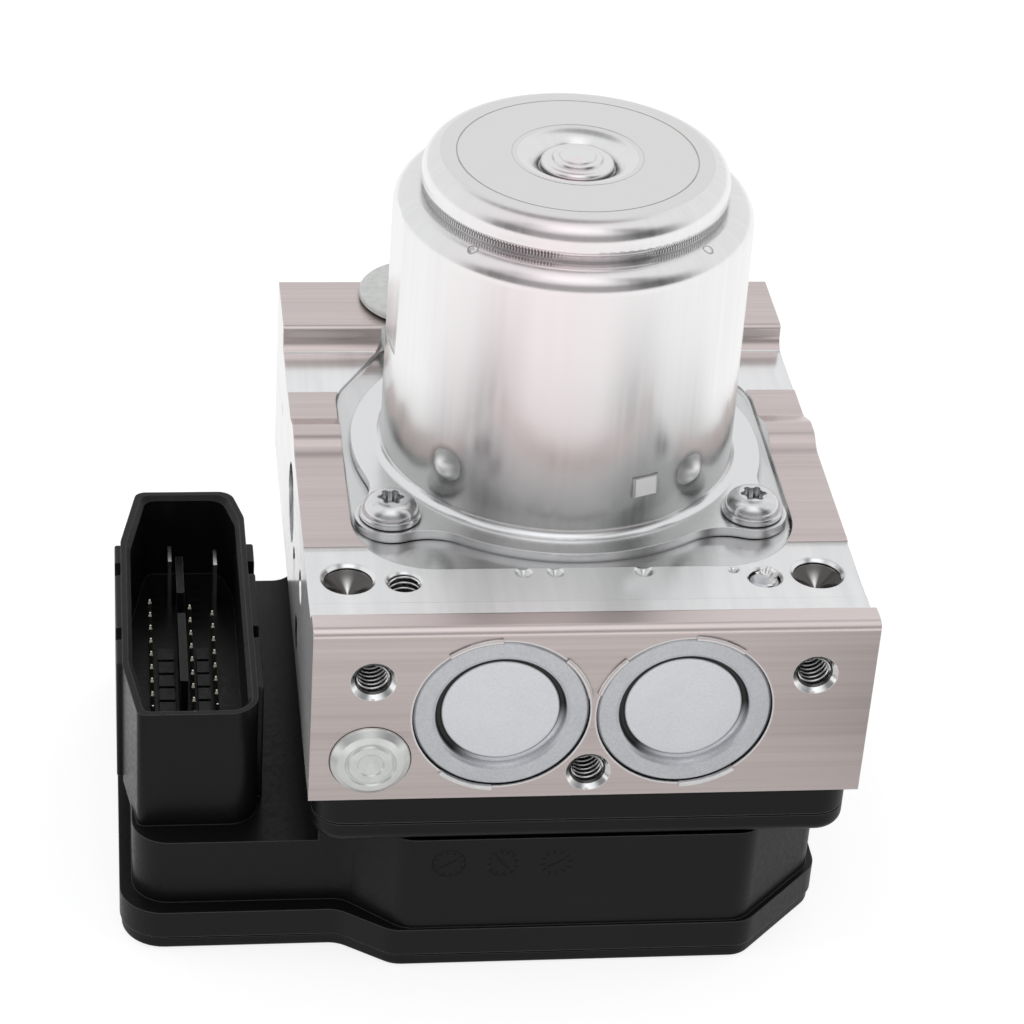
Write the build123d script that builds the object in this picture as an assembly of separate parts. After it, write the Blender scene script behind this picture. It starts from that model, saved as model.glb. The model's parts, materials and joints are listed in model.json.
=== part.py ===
from build123d import *
from math import atan2, cos, degrees, hypot, radians, sin
import os

# Brake pressure modulator with its control unit, in millimetres.
# X to the right, Y to the back, Z up. The origin is where the motor's axis meets the standing plane.

# Control unit, from the standing plane up
cover_height = 2.05
cover_seal_height = 0.45
flange_height = 5.0
plug_deck_height = 12.0
main_wall_height = 17.7
collar_height = 8.8
housing_wall = 2.0
flange_z = cover_height + cover_seal_height
wall_z = flange_z + flange_height
deck_z = wall_z + plug_deck_height
collar_z = wall_z + main_wall_height
block_z = collar_z + collar_height

# Control unit in plan
unit_left = 69.7
unit_right = 40.5
unit_back = 42.2
unit_front = 55.25
plug_deck_front = 47.5
plug_deck_back = 24.9
plug_deck_right = 40.5
diagonal_start_x = -36.6
diagonal_end_x = -27.4
corner_cut = 13.4
window_margin = 3.2
flange_side_lip = 2.0
flange_front_lip = 0.55
flange_deck_lip = 2.65
flange_right_lip = 1.2
flange_back_lip = 1.5

# Hydraulic block
block_width = 86.0
block_front = 55.8
block_back = 47.3
ledge_height = 29.1
bead_rise = 2.6
shelf_step = 0.5
ridge_rise = 2.0
land_rise = 4.3
bead_height = ledge_height + bead_rise
shelf_height = ledge_height + shelf_step
ridge_height = shelf_height + ridge_rise
land_height = ledge_height + land_rise
bead_depth = 4.6
ledge_front = 10.7
ledge_back = 25.5
ridge_front = 52.0
ridge_slope = 2.7
ridge_back = 63.4
groove_front = 71.8
groove_back = 86.85
collar_inset = 0.9

# Motor, heights above the block's underside
pocket_depth = 0.7
pocket_floor = ledge_height - pocket_depth
pocket_margin = 1.6
pocket_corner = 12.0
pocket_rear_step = 0.13
pocket_floor_fillet = 0.55
motor_top_radius = 28.4
motor_taper = 0.36
motor_base_radius = motor_top_radius + motor_taper
base_ring_width = 1.34
motor_base_ring_radius = motor_base_radius + base_ring_width
flange_width = 3.5
motor_flange_thickness = 1.6
motor_flange_radius = motor_base_ring_radius + flange_width
can_straight_top = 72.7
shoulder_top = 76.0
cap_step = 4.25
neck_undercut = 0.4
neck_height = 1.4
cap_radius = motor_top_radius - cap_step
neck_radius = cap_radius - neck_undercut
cap_top = 82.15
can_wall = 1.6
cap_edge_radius = 3.2
hub_radius = 5.8
hub_groove_radius = 6.8
hub_groove_depth = 2.2
hub_step_radius = 4.05
hub_disc_radius = 2.9
bearing_cup_radius = 5.0
bearing_cup_depth = 7.0
ear_radius = 5.6
ear_blend = 9.0
screw_circle_radius = 36.3
screw_angle = 37.25
motor_screw_x = screw_circle_radius * cos(radians(screw_angle))
motor_screw_y = -screw_circle_radius * sin(radians(screw_angle))
rear_screw_y = screw_circle_radius
flat_depth = 0.55
flat_length = 27.0
flat_angle = 5.5
bump_height = 38.2
bump_radius = 2.4
bump_rise = 1.3
bump_angles = (-135, -51, 45, 129)
tab_angle = -69
tab_height = 38.2

# Motor screws, M5 pan heads
screw_thread_radius = 2.45
screw_core_radius = 2.1
screw_head_radius = 4.9
screw_head_height = 3.4
screw_washer_height = 1.1
screw_top_radius = 2.3
screw_socket_radius = 1.62
screw_lobe_radius = 0.5
screw_socket_depth = 2.0
screw_length = 10.0
screw_hole_radius = 2.75

# Rotor and its bearings
shaft_radius = 3.0
tail_radius = 2.5
running_clearance = 0.05
magnet_gap = 0.7
magnet_thickness = 3.75
magnet_seat_gap = 0.05
core_radius = motor_top_radius - can_wall - magnet_seat_gap - magnet_thickness - magnet_gap
core_length = 24.0
core_lift = 13.0
slot_count = 10
slot_width = 4.0
slot_depth = 9.0
eccentric_throw = 0.9
eccentric_radius = 5.0
eccentric_bearing_radius = 7.0
eccentric_bearing_height = 9.4
chamber_radius = 8.6
lower_bearing_radius = 9.5
lower_bearing_height = 4.5
tail_bearing_radius = 5.0
tail_bearing_height = 4.0
brush_plate_thickness = 2.4
commutator_radius = 9.0
commutator_height = 6.0

# Pump elements, on the X axis
pump_depth = 10.2
pump_axis_height = pocket_floor - pump_depth
pump_sleeve_radius = 5.0
pump_piston_radius = 3.0
pump_stroke = 1.8
pump_open_gap = 0.3
pump_piston_length = 17.0
pump_sleeve_length = 17.5
pump_plug_radius = 6.7
pump_plug_thickness = 5.0
pump_plug_recess = 0.6
pump_spring_length = 7.0

# Accumulators, behind the two covers in the front face
accumulator_x = 14.08
accumulator_height = 15.75
accumulator_radius = 11.5
accumulator_depth = 26.5
accumulator_cover_radius = 13.45
accumulator_cover_thickness = 2.2
accumulator_piston_length = 9.5
accumulator_stroke = 7.5
accumulator_counterbore_radius = 13.6

# Front face holes
front_hole_x = 33.75
front_hole_height = 22.25
lower_hole_height = 4.5
bracket_hole_radius = 2.5
bracket_hole_depth = 12.0
bracket_chamfer = 1.0
damper_x = -33.76
damper_height = 7.6
damper_cap_radius = 6.2
damper_bore_radius = 5.2
damper_bore_depth = 13.0

# Ledge holes
locating_hole_x = 36.6
locating_hole_back = 17.6
locating_hole_radius = 3.75
locating_hole_depth = 1.0
ledge_hole_x = 28.1
ledge_hole_back = 16.6
ledge_hole_depth = 9.0
ledge_marks = ((-9.4, 1.45), (-4.4, 1.45), (9.4, 1.6), (23.5, 0.95))
ledge_mark_back = 18.7

# Ports
master_port_x = 18.7
master_port_setback = 6.1
master_port_radius = 4.5
master_port_depth = 11.0
transport_plug_radius = 10.7
transport_plug_thickness = 1.6
transport_plug_undercut = 0.5
wheel_port_height = 16.0
wheel_port_inner_x = 12.0
wheel_port_outer_x = 33.0
wheel_port_radius = 4.5
wheel_port_depth = 11.5

# Solenoid valves, bored in from the block's underside
valve_inner_x = 9.6
valve_outer_x = 29.0
valve_row_y = 21.0
valve_bore_radius = 6.0
valve_bore_depth = 8.0
valve_nose_radius = 4.0
valve_nose_length = 5.5
valve_dome_radius = 3.4
valve_dome_wall = 0.5
valve_dome_length = 15.6
plunger_length = 10.0
plunger_travel = 0.3
tappet_radius = 0.7
valve_seal_gap = 0.02
coil_inner_radius = 3.6
coil_outer_radius = 7.9
coil_shell = 0.7
coil_height = 12.6
coil_drop = 1.2

# Motor supply contact
contact_y = 16.2
contact_radius = 1.2
contact_sleeve_radius = 2.6

# Side drillings closed by balls: distance back from the front face, height and ball radius
side_ball_places = ((30.0, 19.0, 2.5), (36.0, 6.2, 2.6), (45.3, 13.4, 2.3), (84.5, 19.4, 1.9))
ball_setback = 0.35

# Plug socket on the deck
socket_rim_z = block_z + 7.3
socket_floor_z = block_z - 8.5
socket_floor_thickness = 2.0
socket_wall = 1.6
socket_left = 70.9
socket_right = 49.9
socket_front = 43.0
socket_back = 20.2
rail_height = 1.0
rail_drop = 0.4
rail_edge = 0.4
socket_rim_chamfer = 0.7
rail_back = 4.9
rail_windows = ((-4.2, -0.4), (-22.3, -18.9))
pin_size = 0.64
pin_height = 6.0
pin_pitch = 3.7
pin_rows = ((-66.1, 2.2, 9), (-59.5, 0.5, 9), (-55.8, -1.3, 8))
blade_places = ((-62.6, 11.6), (-55.0, 10.4))
blade_thickness = 0.6
blade_width = 4.6
blade_height = 8.9
rib_x = -61.0
rib_thickness = 1.3
rib_height = 8.0
rib_spans = ((1.4, 12.0), (-23.5, -4.6))
cell_rows = ((-63.6, 2.6), (-57.6, 2.0))
cell_count = 6
cell_height = 1.6
cell_front = -27.6

# Circuit board and the screws that hold the housing
board_z = 7.2
board_thickness = 1.6
board_clearance = 1.2
unit_screw_radius = 2.0
unit_screw_head_radius = 3.6
unit_screw_head_height = 2.4
unit_screw_x = 34.6
unit_screw_front = 35.0
unit_screw_back = 35.0
unit_screw_grip = 9.0
boss_radius = 4.4
unit_screw_bite = 6.0

# Places that follow from the sizes above
block_half = block_width / 2
motor_seat_z = block_z + pocket_floor
flange_top_z = motor_seat_z + motor_flange_thickness
cap_z = block_z + cap_top
pump_z = block_z + pump_axis_height
swept_radius = eccentric_bearing_radius + eccentric_throw
pump_piston_start = swept_radius + pump_open_gap
pump_plug_face = block_half - pump_plug_recess
pump_plug_inner = pump_plug_face - pump_plug_thickness
bearing_ceiling_z = cap_z - can_wall - hub_groove_depth
board_front = plug_deck_front - housing_wall - board_clearance
front_row = -block_front
master_port_y = block_back - master_port_setback


def column(radius, bottom, top, x=0.0, y=0.0):
    """A plain upright cylinder between two heights."""
    return Pos(x, y, bottom) * Cylinder(radius, top - bottom, align=(Align.CENTER, Align.CENTER, Align.MIN))


def bar(size_x, size_y, bottom, top, x=0.0, y=0.0):
    """An upright block between two heights."""
    return Pos(x, y, bottom) * Box(size_x, size_y, top - bottom, align=(Align.CENTER, Align.CENTER, Align.MIN))


def turned(profile):
    """A turned solid from (radius, height) points, about Z."""
    return revolve(make_face(Plane.XZ * Polyline(*profile, close=True)), Axis.Z)


def lying_along_y(solid, x, y, z):
    """Lay a part turned about Z along -Y, so that its top faces the front."""
    return Pos(x, y, z) * Rot(90, 0, 0) * solid


def lying_along_x(solid, side, x, y, z):
    """Lay a part turned about Z along X, with its top facing the given side."""
    return Pos(side * x, y, z) * Rot(0, 90 * side, 0) * solid


def coil_spring(radius, wire, length, turns):
    """A compression spring about Z with square wire, from height 0 to its length."""
    pitch = (length - wire) / turns
    path = Helix(pitch=pitch, height=length - wire, radius=radius)
    section = Plane(path @ 0, z_dir=path % 0, x_dir=(1, 0, 0)) * Rectangle(wire, wire)
    return Pos(0, 0, wire / 2) * sweep(section, path=path, is_frenet=True)


def unit_outline(side_lip=0.0, deck_lip=0.0, front_lip=0.0, right_lip=0.0, back_lip=0.0):
    """The control unit's outline in plan, with a lip that may differ on each side."""
    left = -unit_left - side_lip
    right = unit_right + right_lip
    front = -unit_front - front_lip
    back = unit_back + back_lip
    deck_front = -plug_deck_front - deck_lip
    shift = side_lip * 0.8
    points = (
        (left, plug_deck_back + back_lip),
        (left, deck_front),
        (diagonal_start_x - shift / 2, deck_front),
        (diagonal_end_x - shift, front),
        (right - corner_cut - side_lip * 0.2, front),
        (right, front + corner_cut + side_lip * 0.2),
        (right, back),
        (-plug_deck_right - back_lip, back),
        (-plug_deck_right - back_lip, plug_deck_back + back_lip),
    )
    radii = (5.0, 6.0 + side_lip / 2, 5.0, 5.0, 4.5, 5.0, 5.0, 5.0, 4.0)
    return make_face(FilletPolyline(*points, radius=radii, close=True))


def flange_outline(shrink=0.0):
    """Outline of the flange and of the cover under it."""
    return unit_outline(
        flange_side_lip - shrink,
        flange_deck_lip - shrink,
        flange_front_lip - shrink,
        flange_right_lip - shrink,
        flange_back_lip - shrink,
    )


def collar_outline(inset=0.0):
    """The collar under the block, with its rounded corners."""
    width = block_width - 2 * (collar_inset + inset)
    depth = block_front + block_back - 2 * (collar_inset + inset) + collar_inset - 0.3
    centre_y = (block_back - block_front) / 2 - (collar_inset - 0.3) / 2
    return Pos(0, centre_y) * RectangleRounded(width, depth, 5.0 - min(inset, 2.5))


def socket_outline(inset=0.0):
    """Outline of the plug socket: a long facet at the front left, rounded at the front right."""
    left = -socket_left + inset
    right = -socket_right - inset
    front = -socket_front + inset
    back = socket_back - inset
    points = (
        (left + 2.8, back),
        (right - 2.2, back),
        (right - 0.2, back - 8.0),
        (right, front),
        (left + 2.2, front),
        (left, front + 13.0),
        (left, back - 15.0),
    )
    return make_face(FilletPolyline(*points, radius=(1.8, 2.8, 6.0, 4.6 - inset, 1.4, 3.0, 6.0), close=True))


def block_profile():
    """The extrusion's section in Y and Z: bead, ledge, shelf, ridge, groove and rear land."""
    front = -block_front
    points = (
        (front, 0),
        (front, bead_height),
        (front + bead_depth, bead_height - 0.15),
        (front + 6.9, shelf_height - 0.35),
        (front + ledge_front, shelf_height - 0.3),
        (front + ledge_front + 0.1, ledge_height),
        (front + ledge_back, ledge_height),
        (front + ledge_back + 0.3, shelf_height),
        (front + ridge_front, shelf_height + 0.3),
        (front + ridge_front + ridge_slope, ridge_height),
        (front + ridge_back - 5.0, ridge_height),
        (front + ridge_back, shelf_height),
        (front + groove_front, shelf_height),
        (front + groove_front + 0.1, ledge_height),
        (front + groove_back, ledge_height),
        (front + groove_back, land_height),
        (block_back, land_height),
        (block_back, 0),
    )
    radii = (0, 1.3, 0.9, 1.4, 0, 0, 0, 0, 5.0, 2.4, 2.4, 2.5, 0, 0, 2.3, 0.9, 0.8, 0)
    return make_face(FilletPolyline(*points, radius=radii, close=True))


def blend_centre(disc_radius, ear_radius, reach, blend):
    """The centre of the concave arc that touches a disc and an ear standing at reach on +X."""
    across = disc_radius + blend
    beside = ear_radius + blend
    x = (across**2 - beside**2 + reach**2) / (2 * reach)
    return x, (across**2 - x**2) ** 0.5


def eared_outline(disc_radius, ear_radius, reach, blend):
    """A disc with one rounded ear on +X, joined to it by two concave arcs."""
    x, y = blend_centre(disc_radius, ear_radius, reach, blend)
    web = make_face(Polyline((0, 0), (x, y), (reach, 0), (x, -y), close=True))
    web -= Pos(x, y) * Circle(blend) + Pos(x, -y) * Circle(blend)
    return web + Circle(disc_radius) + Pos(reach, 0) * Circle(ear_radius)


def pocket_outline():
    """The milled pocket that the motor's flange sits in."""
    half = motor_flange_radius + pocket_margin
    front = -half - 0.8
    front_corner = half * 0.37
    rear_half = half * 0.72
    ear = (half, ear_radius + pocket_margin, screw_circle_radius, ear_blend - pocket_margin)
    blend_x = blend_centre(*ear)[0]
    rear = half * blend_x / (half + ear_blend - pocket_margin) - pocket_rear_step
    points = ((-half, front), (half, front), (half, half * 0.45), (rear_half, rear), (-rear_half, rear),
              (-half, half * 0.45))
    corner = min(pocket_corner, half * 0.4)
    body = make_face(FilletPolyline(*points, radius=(front_corner, front_corner, corner, corner / 2, corner / 2, corner),
                                    close=True))
    return body + Rot(0, 0, 90) * eared_outline(*ear)


def screw_places():
    """The three motor screws in plan."""
    return ((-motor_screw_x, motor_screw_y), (motor_screw_x, motor_screw_y), (0.0, rear_screw_y))


def valve_places():
    """The eight valves in plan: inlet valves in the front row, outlet valves in the back row."""
    row = (-valve_outer_x, -valve_inner_x, valve_inner_x, valve_outer_x)
    return [(x, y) for y in (-valve_row_y, valve_row_y) for x in row]


def chamfered_hole(radius, depth, chamfer):
    """A blind drilled hole about Z with a drill point, its mouth at height 0."""
    point = radius * 0.6
    profile = ((0, 0.5), (radius + chamfer + 0.5, 0.5), (radius + chamfer, 0), (radius, -chamfer),
               (radius, -depth), (0, -depth - point))
    return turned(profile)


def hydraulic_block():
    """The valve block: an extruded bar, milled and drilled."""
    block = extrude(Plane.YZ * block_profile(), block_half, both=True)
    block = Pos(0, 0, block_z) * block
    pocket = extrude(pocket_outline(), land_height)
    pocket = fillet(pocket.edges().group_by(Axis.Z)[0], pocket_floor_fillet)
    block -= Pos(0, 0, motor_seat_z) * pocket

    # Bores on the motor's axis
    lower_seat_z = motor_seat_z - lower_bearing_height
    chamber_floor_z = pump_z - swept_radius + 1.0
    block -= column(lower_bearing_radius, lower_seat_z, motor_seat_z + 1)
    block -= column(chamber_radius, chamber_floor_z, lower_seat_z)
    block -= column(tail_bearing_radius, chamber_floor_z - tail_bearing_height - 1, chamber_floor_z)
    block -= column(contact_sleeve_radius, block_z - 1, motor_seat_z + 1, 0, contact_y)
    for x, y in screw_places():
        block -= Pos(x, y, motor_seat_z) * chamfered_hole(screw_core_radius, screw_length + 1.5, 0.2)

    # Pump bores from both sides
    for side in (-1, 1):
        sleeve_bore = Cylinder(pump_sleeve_radius, block_half, align=(Align.CENTER, Align.CENTER, Align.MIN))
        block -= lying_along_x(sleeve_bore, side, 0, 0, pump_z)
        plug_bore = Cylinder(pump_plug_radius, pump_plug_thickness + 2, align=(Align.CENTER, Align.CENTER, Align.MIN))
        block -= lying_along_x(plug_bore, side, pump_plug_inner, 0, pump_z)
        for back, height, radius in side_ball_places:
            drilling = chamfered_hole(radius, 2 * radius + 0.6, 0.35)
            block -= lying_along_x(drilling, side, block_half, front_row + back, block_z + height)

    # Valve bores from below
    for x, y in valve_places():
        block -= column(valve_bore_radius, block_z - 1, block_z + valve_bore_depth, x, y)
        block -= column(valve_nose_radius, block_z, block_z + valve_bore_depth + valve_nose_length, x, y)

    for x, y in unit_screw_places():
        block -= column(unit_screw_radius, block_z - 1, block_z + unit_screw_bite + 1, x, y)

    # Front face
    for side in (-1, 1):
        x = side * accumulator_x
        z = block_z + accumulator_height
        bore = chamfered_hole(accumulator_radius, accumulator_depth, 0.3)
        block -= lying_along_y(bore, x, front_row, z)
        counterbore = column(accumulator_counterbore_radius, -accumulator_cover_thickness, 1)
        block -= lying_along_y(counterbore, x, front_row, z)
        hole = chamfered_hole(bracket_hole_radius, bracket_hole_depth, bracket_chamfer)
        block -= lying_along_y(hole, side * front_hole_x, front_row, block_z + front_hole_height)
    lower_hole = chamfered_hole(bracket_hole_radius, bracket_hole_depth, bracket_chamfer)
    block -= lying_along_y(lower_hole, 0, front_row, block_z + lower_hole_height)
    damper_bore = chamfered_hole(damper_bore_radius, damper_bore_depth, damper_cap_radius + 0.15 - damper_bore_radius)
    block -= lying_along_y(damper_bore, damper_x, front_row, block_z + damper_height)

    # Ledge
    ledge_z = block_z + ledge_height
    for side in (-1, 1):
        locating = chamfered_hole(locating_hole_radius, locating_hole_depth, 0.6)
        block -= Pos(side * locating_hole_x, front_row + locating_hole_back, ledge_z) * locating
        drilled = chamfered_hole(bracket_hole_radius, ledge_hole_depth, 0.4)
        block -= Pos(side * ledge_hole_x, front_row + ledge_hole_back, ledge_z) * drilled
    for x, radius in ledge_marks:
        mark = Cone(0.05, radius, radius, align=(Align.CENTER, Align.CENTER, Align.MAX))
        block -= Pos(x, front_row + ledge_mark_back, ledge_z) * mark

    # Master cylinder ports in the rear land, wheel ports in the back face
    for side in (-1, 1):
        port = chamfered_hole(master_port_radius, master_port_depth, 0.5)
        block -= Pos(side * master_port_x, master_port_y, block_z + land_height) * port
        for x in (wheel_port_inner_x, wheel_port_outer_x):
            wheel = chamfered_hole(wheel_port_radius, wheel_port_depth, 0.5)
            block -= Pos(side * x, block_back, block_z + wheel_port_height) * Rot(-90, 0, 0) * wheel
    return block


def motor_can():
    """The drawn steel case: cap, neck, shoulder, body, base ring and the flange with three ears."""
    base = motor_seat_z
    flange_top = flange_top_z
    shoulder_z = block_z + shoulder_top
    straight_z = block_z + can_straight_top
    ring = motor_base_ring_radius - motor_base_radius
    edge_radius = shoulder_z - straight_z
    neck_z = shoulder_z + neck_height
    inner_base = motor_base_radius - can_wall
    inner_top = motor_top_radius - can_wall
    outline = [
        Line((inner_base, base), (motor_base_ring_radius, base)),
        Line((motor_base_ring_radius, base), (motor_base_ring_radius, flange_top)),
        ThreePointArc((motor_base_ring_radius, flange_top), (motor_base_radius + ring * 0.3, flange_top + ring * 0.3),
                      (motor_base_radius, flange_top + ring)),
        Line((motor_base_radius, flange_top + ring), (motor_top_radius, straight_z)),
        ThreePointArc((motor_top_radius, straight_z),
                      (motor_top_radius - edge_radius * 0.293, straight_z + edge_radius * 0.707),
                      (motor_top_radius - edge_radius, shoulder_z)),
        Line((motor_top_radius - edge_radius, shoulder_z), (neck_radius, shoulder_z)),
        Line((neck_radius, shoulder_z), (neck_radius, neck_z - 0.4)),
        ThreePointArc((neck_radius, neck_z - 0.4), (neck_radius + 0.3, neck_z), (cap_radius, neck_z + 0.8)),
        Line((cap_radius, neck_z + 0.8), (cap_radius, cap_z - cap_edge_radius)),
        ThreePointArc((cap_radius, cap_z - cap_edge_radius),
                      (cap_radius - cap_edge_radius * 0.293, cap_z - cap_edge_radius * 0.293),
                      (cap_radius - cap_edge_radius, cap_z)),
        Line((cap_radius - cap_edge_radius, cap_z), (10.3, cap_z)),
        Spline((10.3, cap_z), (8.6, cap_z - 0.25), (hub_groove_radius, cap_z - 1.4)),
        Line((hub_groove_radius, cap_z - 1.4), (hub_radius + 0.25, cap_z - hub_groove_depth)),
        Line((hub_radius + 0.25, cap_z - hub_groove_depth), (hub_radius, cap_z - hub_groove_depth)),
        Line((hub_radius, cap_z - hub_groove_depth), (hub_radius, cap_z - 1.5)),
        ThreePointArc((hub_radius, cap_z - 1.5), (hub_radius - 0.3, cap_z - 0.95), (hub_radius - 0.8, cap_z - 0.75)),
        Line((hub_radius - 0.8, cap_z - 0.75), (hub_step_radius, cap_z - 0.7)),
        Line((hub_step_radius, cap_z - 0.7), (hub_step_radius - 0.2, cap_z - 0.3)),
        Line((hub_step_radius - 0.2, cap_z - 0.3), (hub_disc_radius, cap_z - 0.3)),
        Line((hub_disc_radius, cap_z - 0.3), (hub_disc_radius - 0.1, cap_z - 0.1)),
        Line((hub_disc_radius - 0.1, cap_z - 0.1), (0, cap_z - 0.1)),
    ]
    cup_wall = bearing_cup_radius + can_wall
    ceiling = bearing_ceiling_z
    cup_bottom = ceiling - bearing_cup_depth
    inner_shoulder = shoulder_z - can_wall
    inner_cap = cap_z - can_wall
    outline += [
        Polyline((0, cap_z - 0.1), (0, ceiling), (bearing_cup_radius, ceiling), (bearing_cup_radius, cup_bottom),
                 (cup_wall, cup_bottom), (cup_wall, ceiling), (9.4, ceiling), (11.0, inner_cap),
                 (neck_radius - can_wall, inner_cap), (neck_radius - can_wall, inner_shoulder),
                 (inner_top, inner_shoulder), (inner_base, base)),
    ]
    edges = [edge for curve in outline for edge in curve.edges()]
    can = revolve(make_face(Plane.XZ * Wire(edges)), Axis.Z)

    plate = Circle(motor_flange_radius)
    for x, y in screw_places():
        ear = eared_outline(motor_flange_radius, ear_radius, hypot(x, y), ear_blend)
        plate += Rot(0, 0, degrees(atan2(y, x))) * ear
    plate -= Circle(motor_base_radius - can_wall / 2)
    for x, y in screw_places():
        plate -= Pos(x, y) * Circle(screw_hole_radius)
    can += Pos(0, 0, base) * extrude(plate, motor_flange_thickness)

    # Bumps and the lanced tab above the base ring, and the pressed flat on the left
    rise = (bump_height - pocket_floor) / (can_straight_top - pocket_floor)
    wall_radius = motor_base_radius - rise * (motor_base_radius - motor_top_radius)
    ball_radius = (bump_radius**2 + bump_rise**2) / (2 * bump_rise)
    for angle in bump_angles:
        ball = Pos(wall_radius + bump_rise - ball_radius, 0, block_z + bump_height) * Sphere(ball_radius)
        can += Rot(0, 0, angle) * ball
    tab = Pos(motor_base_radius - 0.5, 0, block_z + tab_height) * Rot(0, -6, 0) * Box(1.6, 4.6, 3.4)
    can += Rot(0, 0, tab_angle) * tab
    flat_box = Box(6, 16, flat_length, align=(Align.MAX, Align.CENTER, Align.MAX))
    flat_place = Rot(0, 0, flat_angle) * Pos(-motor_top_radius + flat_depth, 0, shoulder_z + 1)
    can -= flat_place * Rot(0, 1.0, 0) * flat_box
    inner_clear = column(inner_top - magnet_seat_gap, base - 1, inner_shoulder)
    can -= inner_clear
    return can


def pan_screw():
    """An M5 pan head screw: washer rim, dome and six-lobe socket, its seat at height 0."""
    r = screw_head_radius
    rim = screw_washer_height
    dome = r - 0.5
    side = screw_top_radius + (dome - screw_top_radius) * 0.68
    shoulder = rim + (screw_head_height - rim) * 0.7
    outline = [
        Polyline((0, screw_head_height), (0, 0), (r - 0.2, 0), (r, 0.2), (r, rim - 0.35), (r - 0.2, rim), (dome, rim)),
        ThreePointArc((dome, rim), (side, shoulder), (screw_top_radius, screw_head_height)),
        Line((screw_top_radius, screw_head_height), (0, screw_head_height)),
    ]
    edges = [edge for curve in outline for edge in curve.edges()]
    head = revolve(make_face(Plane.XZ * Wire(edges)), Axis.Z)
    lobes = Circle(screw_socket_radius)
    for step in range(6):
        lobes += Rot(0, 0, 60 * step) * Pos(screw_socket_radius, 0) * Circle(screw_lobe_radius)
    socket = Pos(0, 0, screw_head_height - screw_socket_depth) * extrude(lobes, screw_socket_depth + 1)
    shank = column(screw_core_radius, -screw_length, 0)
    return head - socket + shank


def motor_screws():
    """The three motor screws."""
    return [Pos(x, y, flange_top_z) * pan_screw() for x, y in screw_places()]


def accumulator_cover():
    """Pressed cover with a flat rim and a recessed centre, its outer face at height 0."""
    return turned(((0, -accumulator_cover_thickness), (accumulator_cover_radius - 0.05, -accumulator_cover_thickness),
                   (accumulator_cover_radius, -0.5),
                   (accumulator_cover_radius - 0.4, -0.15), (10.6, -0.15), (10.1, -0.5), (9.75, -1.5),
                   (9.2, -1.5), (8.9, -1.25), (0, -1.25)))


def damper_cap():
    """Small domed plug with a ring groove and a dimple."""
    cap = turned(((0, -4), (damper_bore_radius, -4), (damper_bore_radius, -1.1), (damper_cap_radius, -0.05),
                  (damper_cap_radius - 0.15, 0.35), (damper_cap_radius - 1.1, 1.05), (4.0, 1.35), (3.75, 1.1),
                  (3.55, 1.1), (3.3, 1.4), (2.1, 1.45), (1.9, 1.25), (0, 1.2)))
    return lying_along_y(cap, damper_x, front_row, block_z + damper_height)


def transport_plugs():
    """Wide-headed shipping plugs in the master cylinder ports."""
    head = transport_plug_radius
    stem = master_port_radius - 0.1
    tip = 3 - master_port_depth
    top = transport_plug_thickness
    plug = turned(((0, tip), (stem - 1.2, tip), (stem, tip + 1.5), (stem, 0), (head - transport_plug_undercut - 0.4, 0),
                   (head, transport_plug_undercut), (head, top - 0.25), (head - 0.25, top), (0, top)))
    return [Pos(side * master_port_x, master_port_y, block_z + land_height) * plug for side in (-1, 1)]


def pump_plug():
    """Dished plug pressed into the pump bore's mouth, its outer face at height 0."""
    return turned(((0, -pump_plug_thickness), (pump_plug_radius, -pump_plug_thickness), (pump_plug_radius, -0.6),
                   (pump_plug_radius - 0.6, 0), (4.6, 0), (4.0, -1.3), (0, -1.3)))


def pump_sleeve():
    """The pump cylinder's sleeve, from height 0 up."""
    inner = pump_piston_radius + running_clearance
    return turned(((inner, 0), (pump_sleeve_radius, 0), (pump_sleeve_radius, pump_sleeve_length),
                   (inner, pump_sleeve_length)))


def pump_piston():
    """The pump piston, its rounded tip at height 0."""
    r = pump_piston_radius
    return turned(((0, 0), (r - 0.6, 0), (r, 0.6), (r, pump_piston_length), (0, pump_piston_length)))


def accumulator_piston():
    """A cup open to the cover, with a groove for its seal ring; its closed end is at height 0."""
    r = accumulator_radius - running_clearance
    length = accumulator_piston_length
    return turned(((0, 0), (r - 0.8, 0), (r, 0.8), (r, 3.0), (r - 1.6, 3.0), (r - 1.6, 5.2), (r, 5.2), (r, length),
                   (r - 3.2, length), (r - 3.2, 2.4), (0, 2.4)))


def piston_seal():
    """Seal ring in the piston's groove."""
    r = accumulator_radius - running_clearance
    return turned(((r - 1.6, 3.1), (r, 3.1), (r, 5.1), (r - 1.6, 5.1)))


def rotor_shaft():
    """Motor shaft with the pump's eccentric and the tail journal, one turned piece."""
    chamber_floor_z = pump_z - swept_radius + 1.0
    half = eccentric_bearing_height / 2
    top = bearing_ceiling_z - 0.4
    shaft = column(shaft_radius, pump_z + half, top)
    shaft += column(eccentric_radius, pump_z - half, pump_z + half, eccentric_throw)
    shaft += column(tail_radius, chamber_floor_z - tail_bearing_height, pump_z - half)
    return shaft


def eccentric_bearing():
    """The ring on the eccentric that pushes the pump pistons."""
    half = eccentric_bearing_height / 2 - 0.1
    outer = column(eccentric_bearing_radius, pump_z - half, pump_z + half, eccentric_throw)
    return outer - column(eccentric_radius, pump_z - half, pump_z + half, eccentric_throw)


def core_bottom():
    """Height of the armature core's underside."""
    return flange_top_z + core_lift


def armature_core():
    """Stack of armature sheets with winding slots."""
    low = core_bottom()
    core = column(core_radius, low, low + core_length) - column(shaft_radius, low, low + core_length)
    for step in range(slot_count):
        angle = 360 / slot_count * step
        slot = bar(slot_depth, slot_width, low, low + core_length, core_radius - slot_depth / 2 + 0.5, 0)
        core -= Rot(0, 0, angle) * slot
    return core


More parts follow.
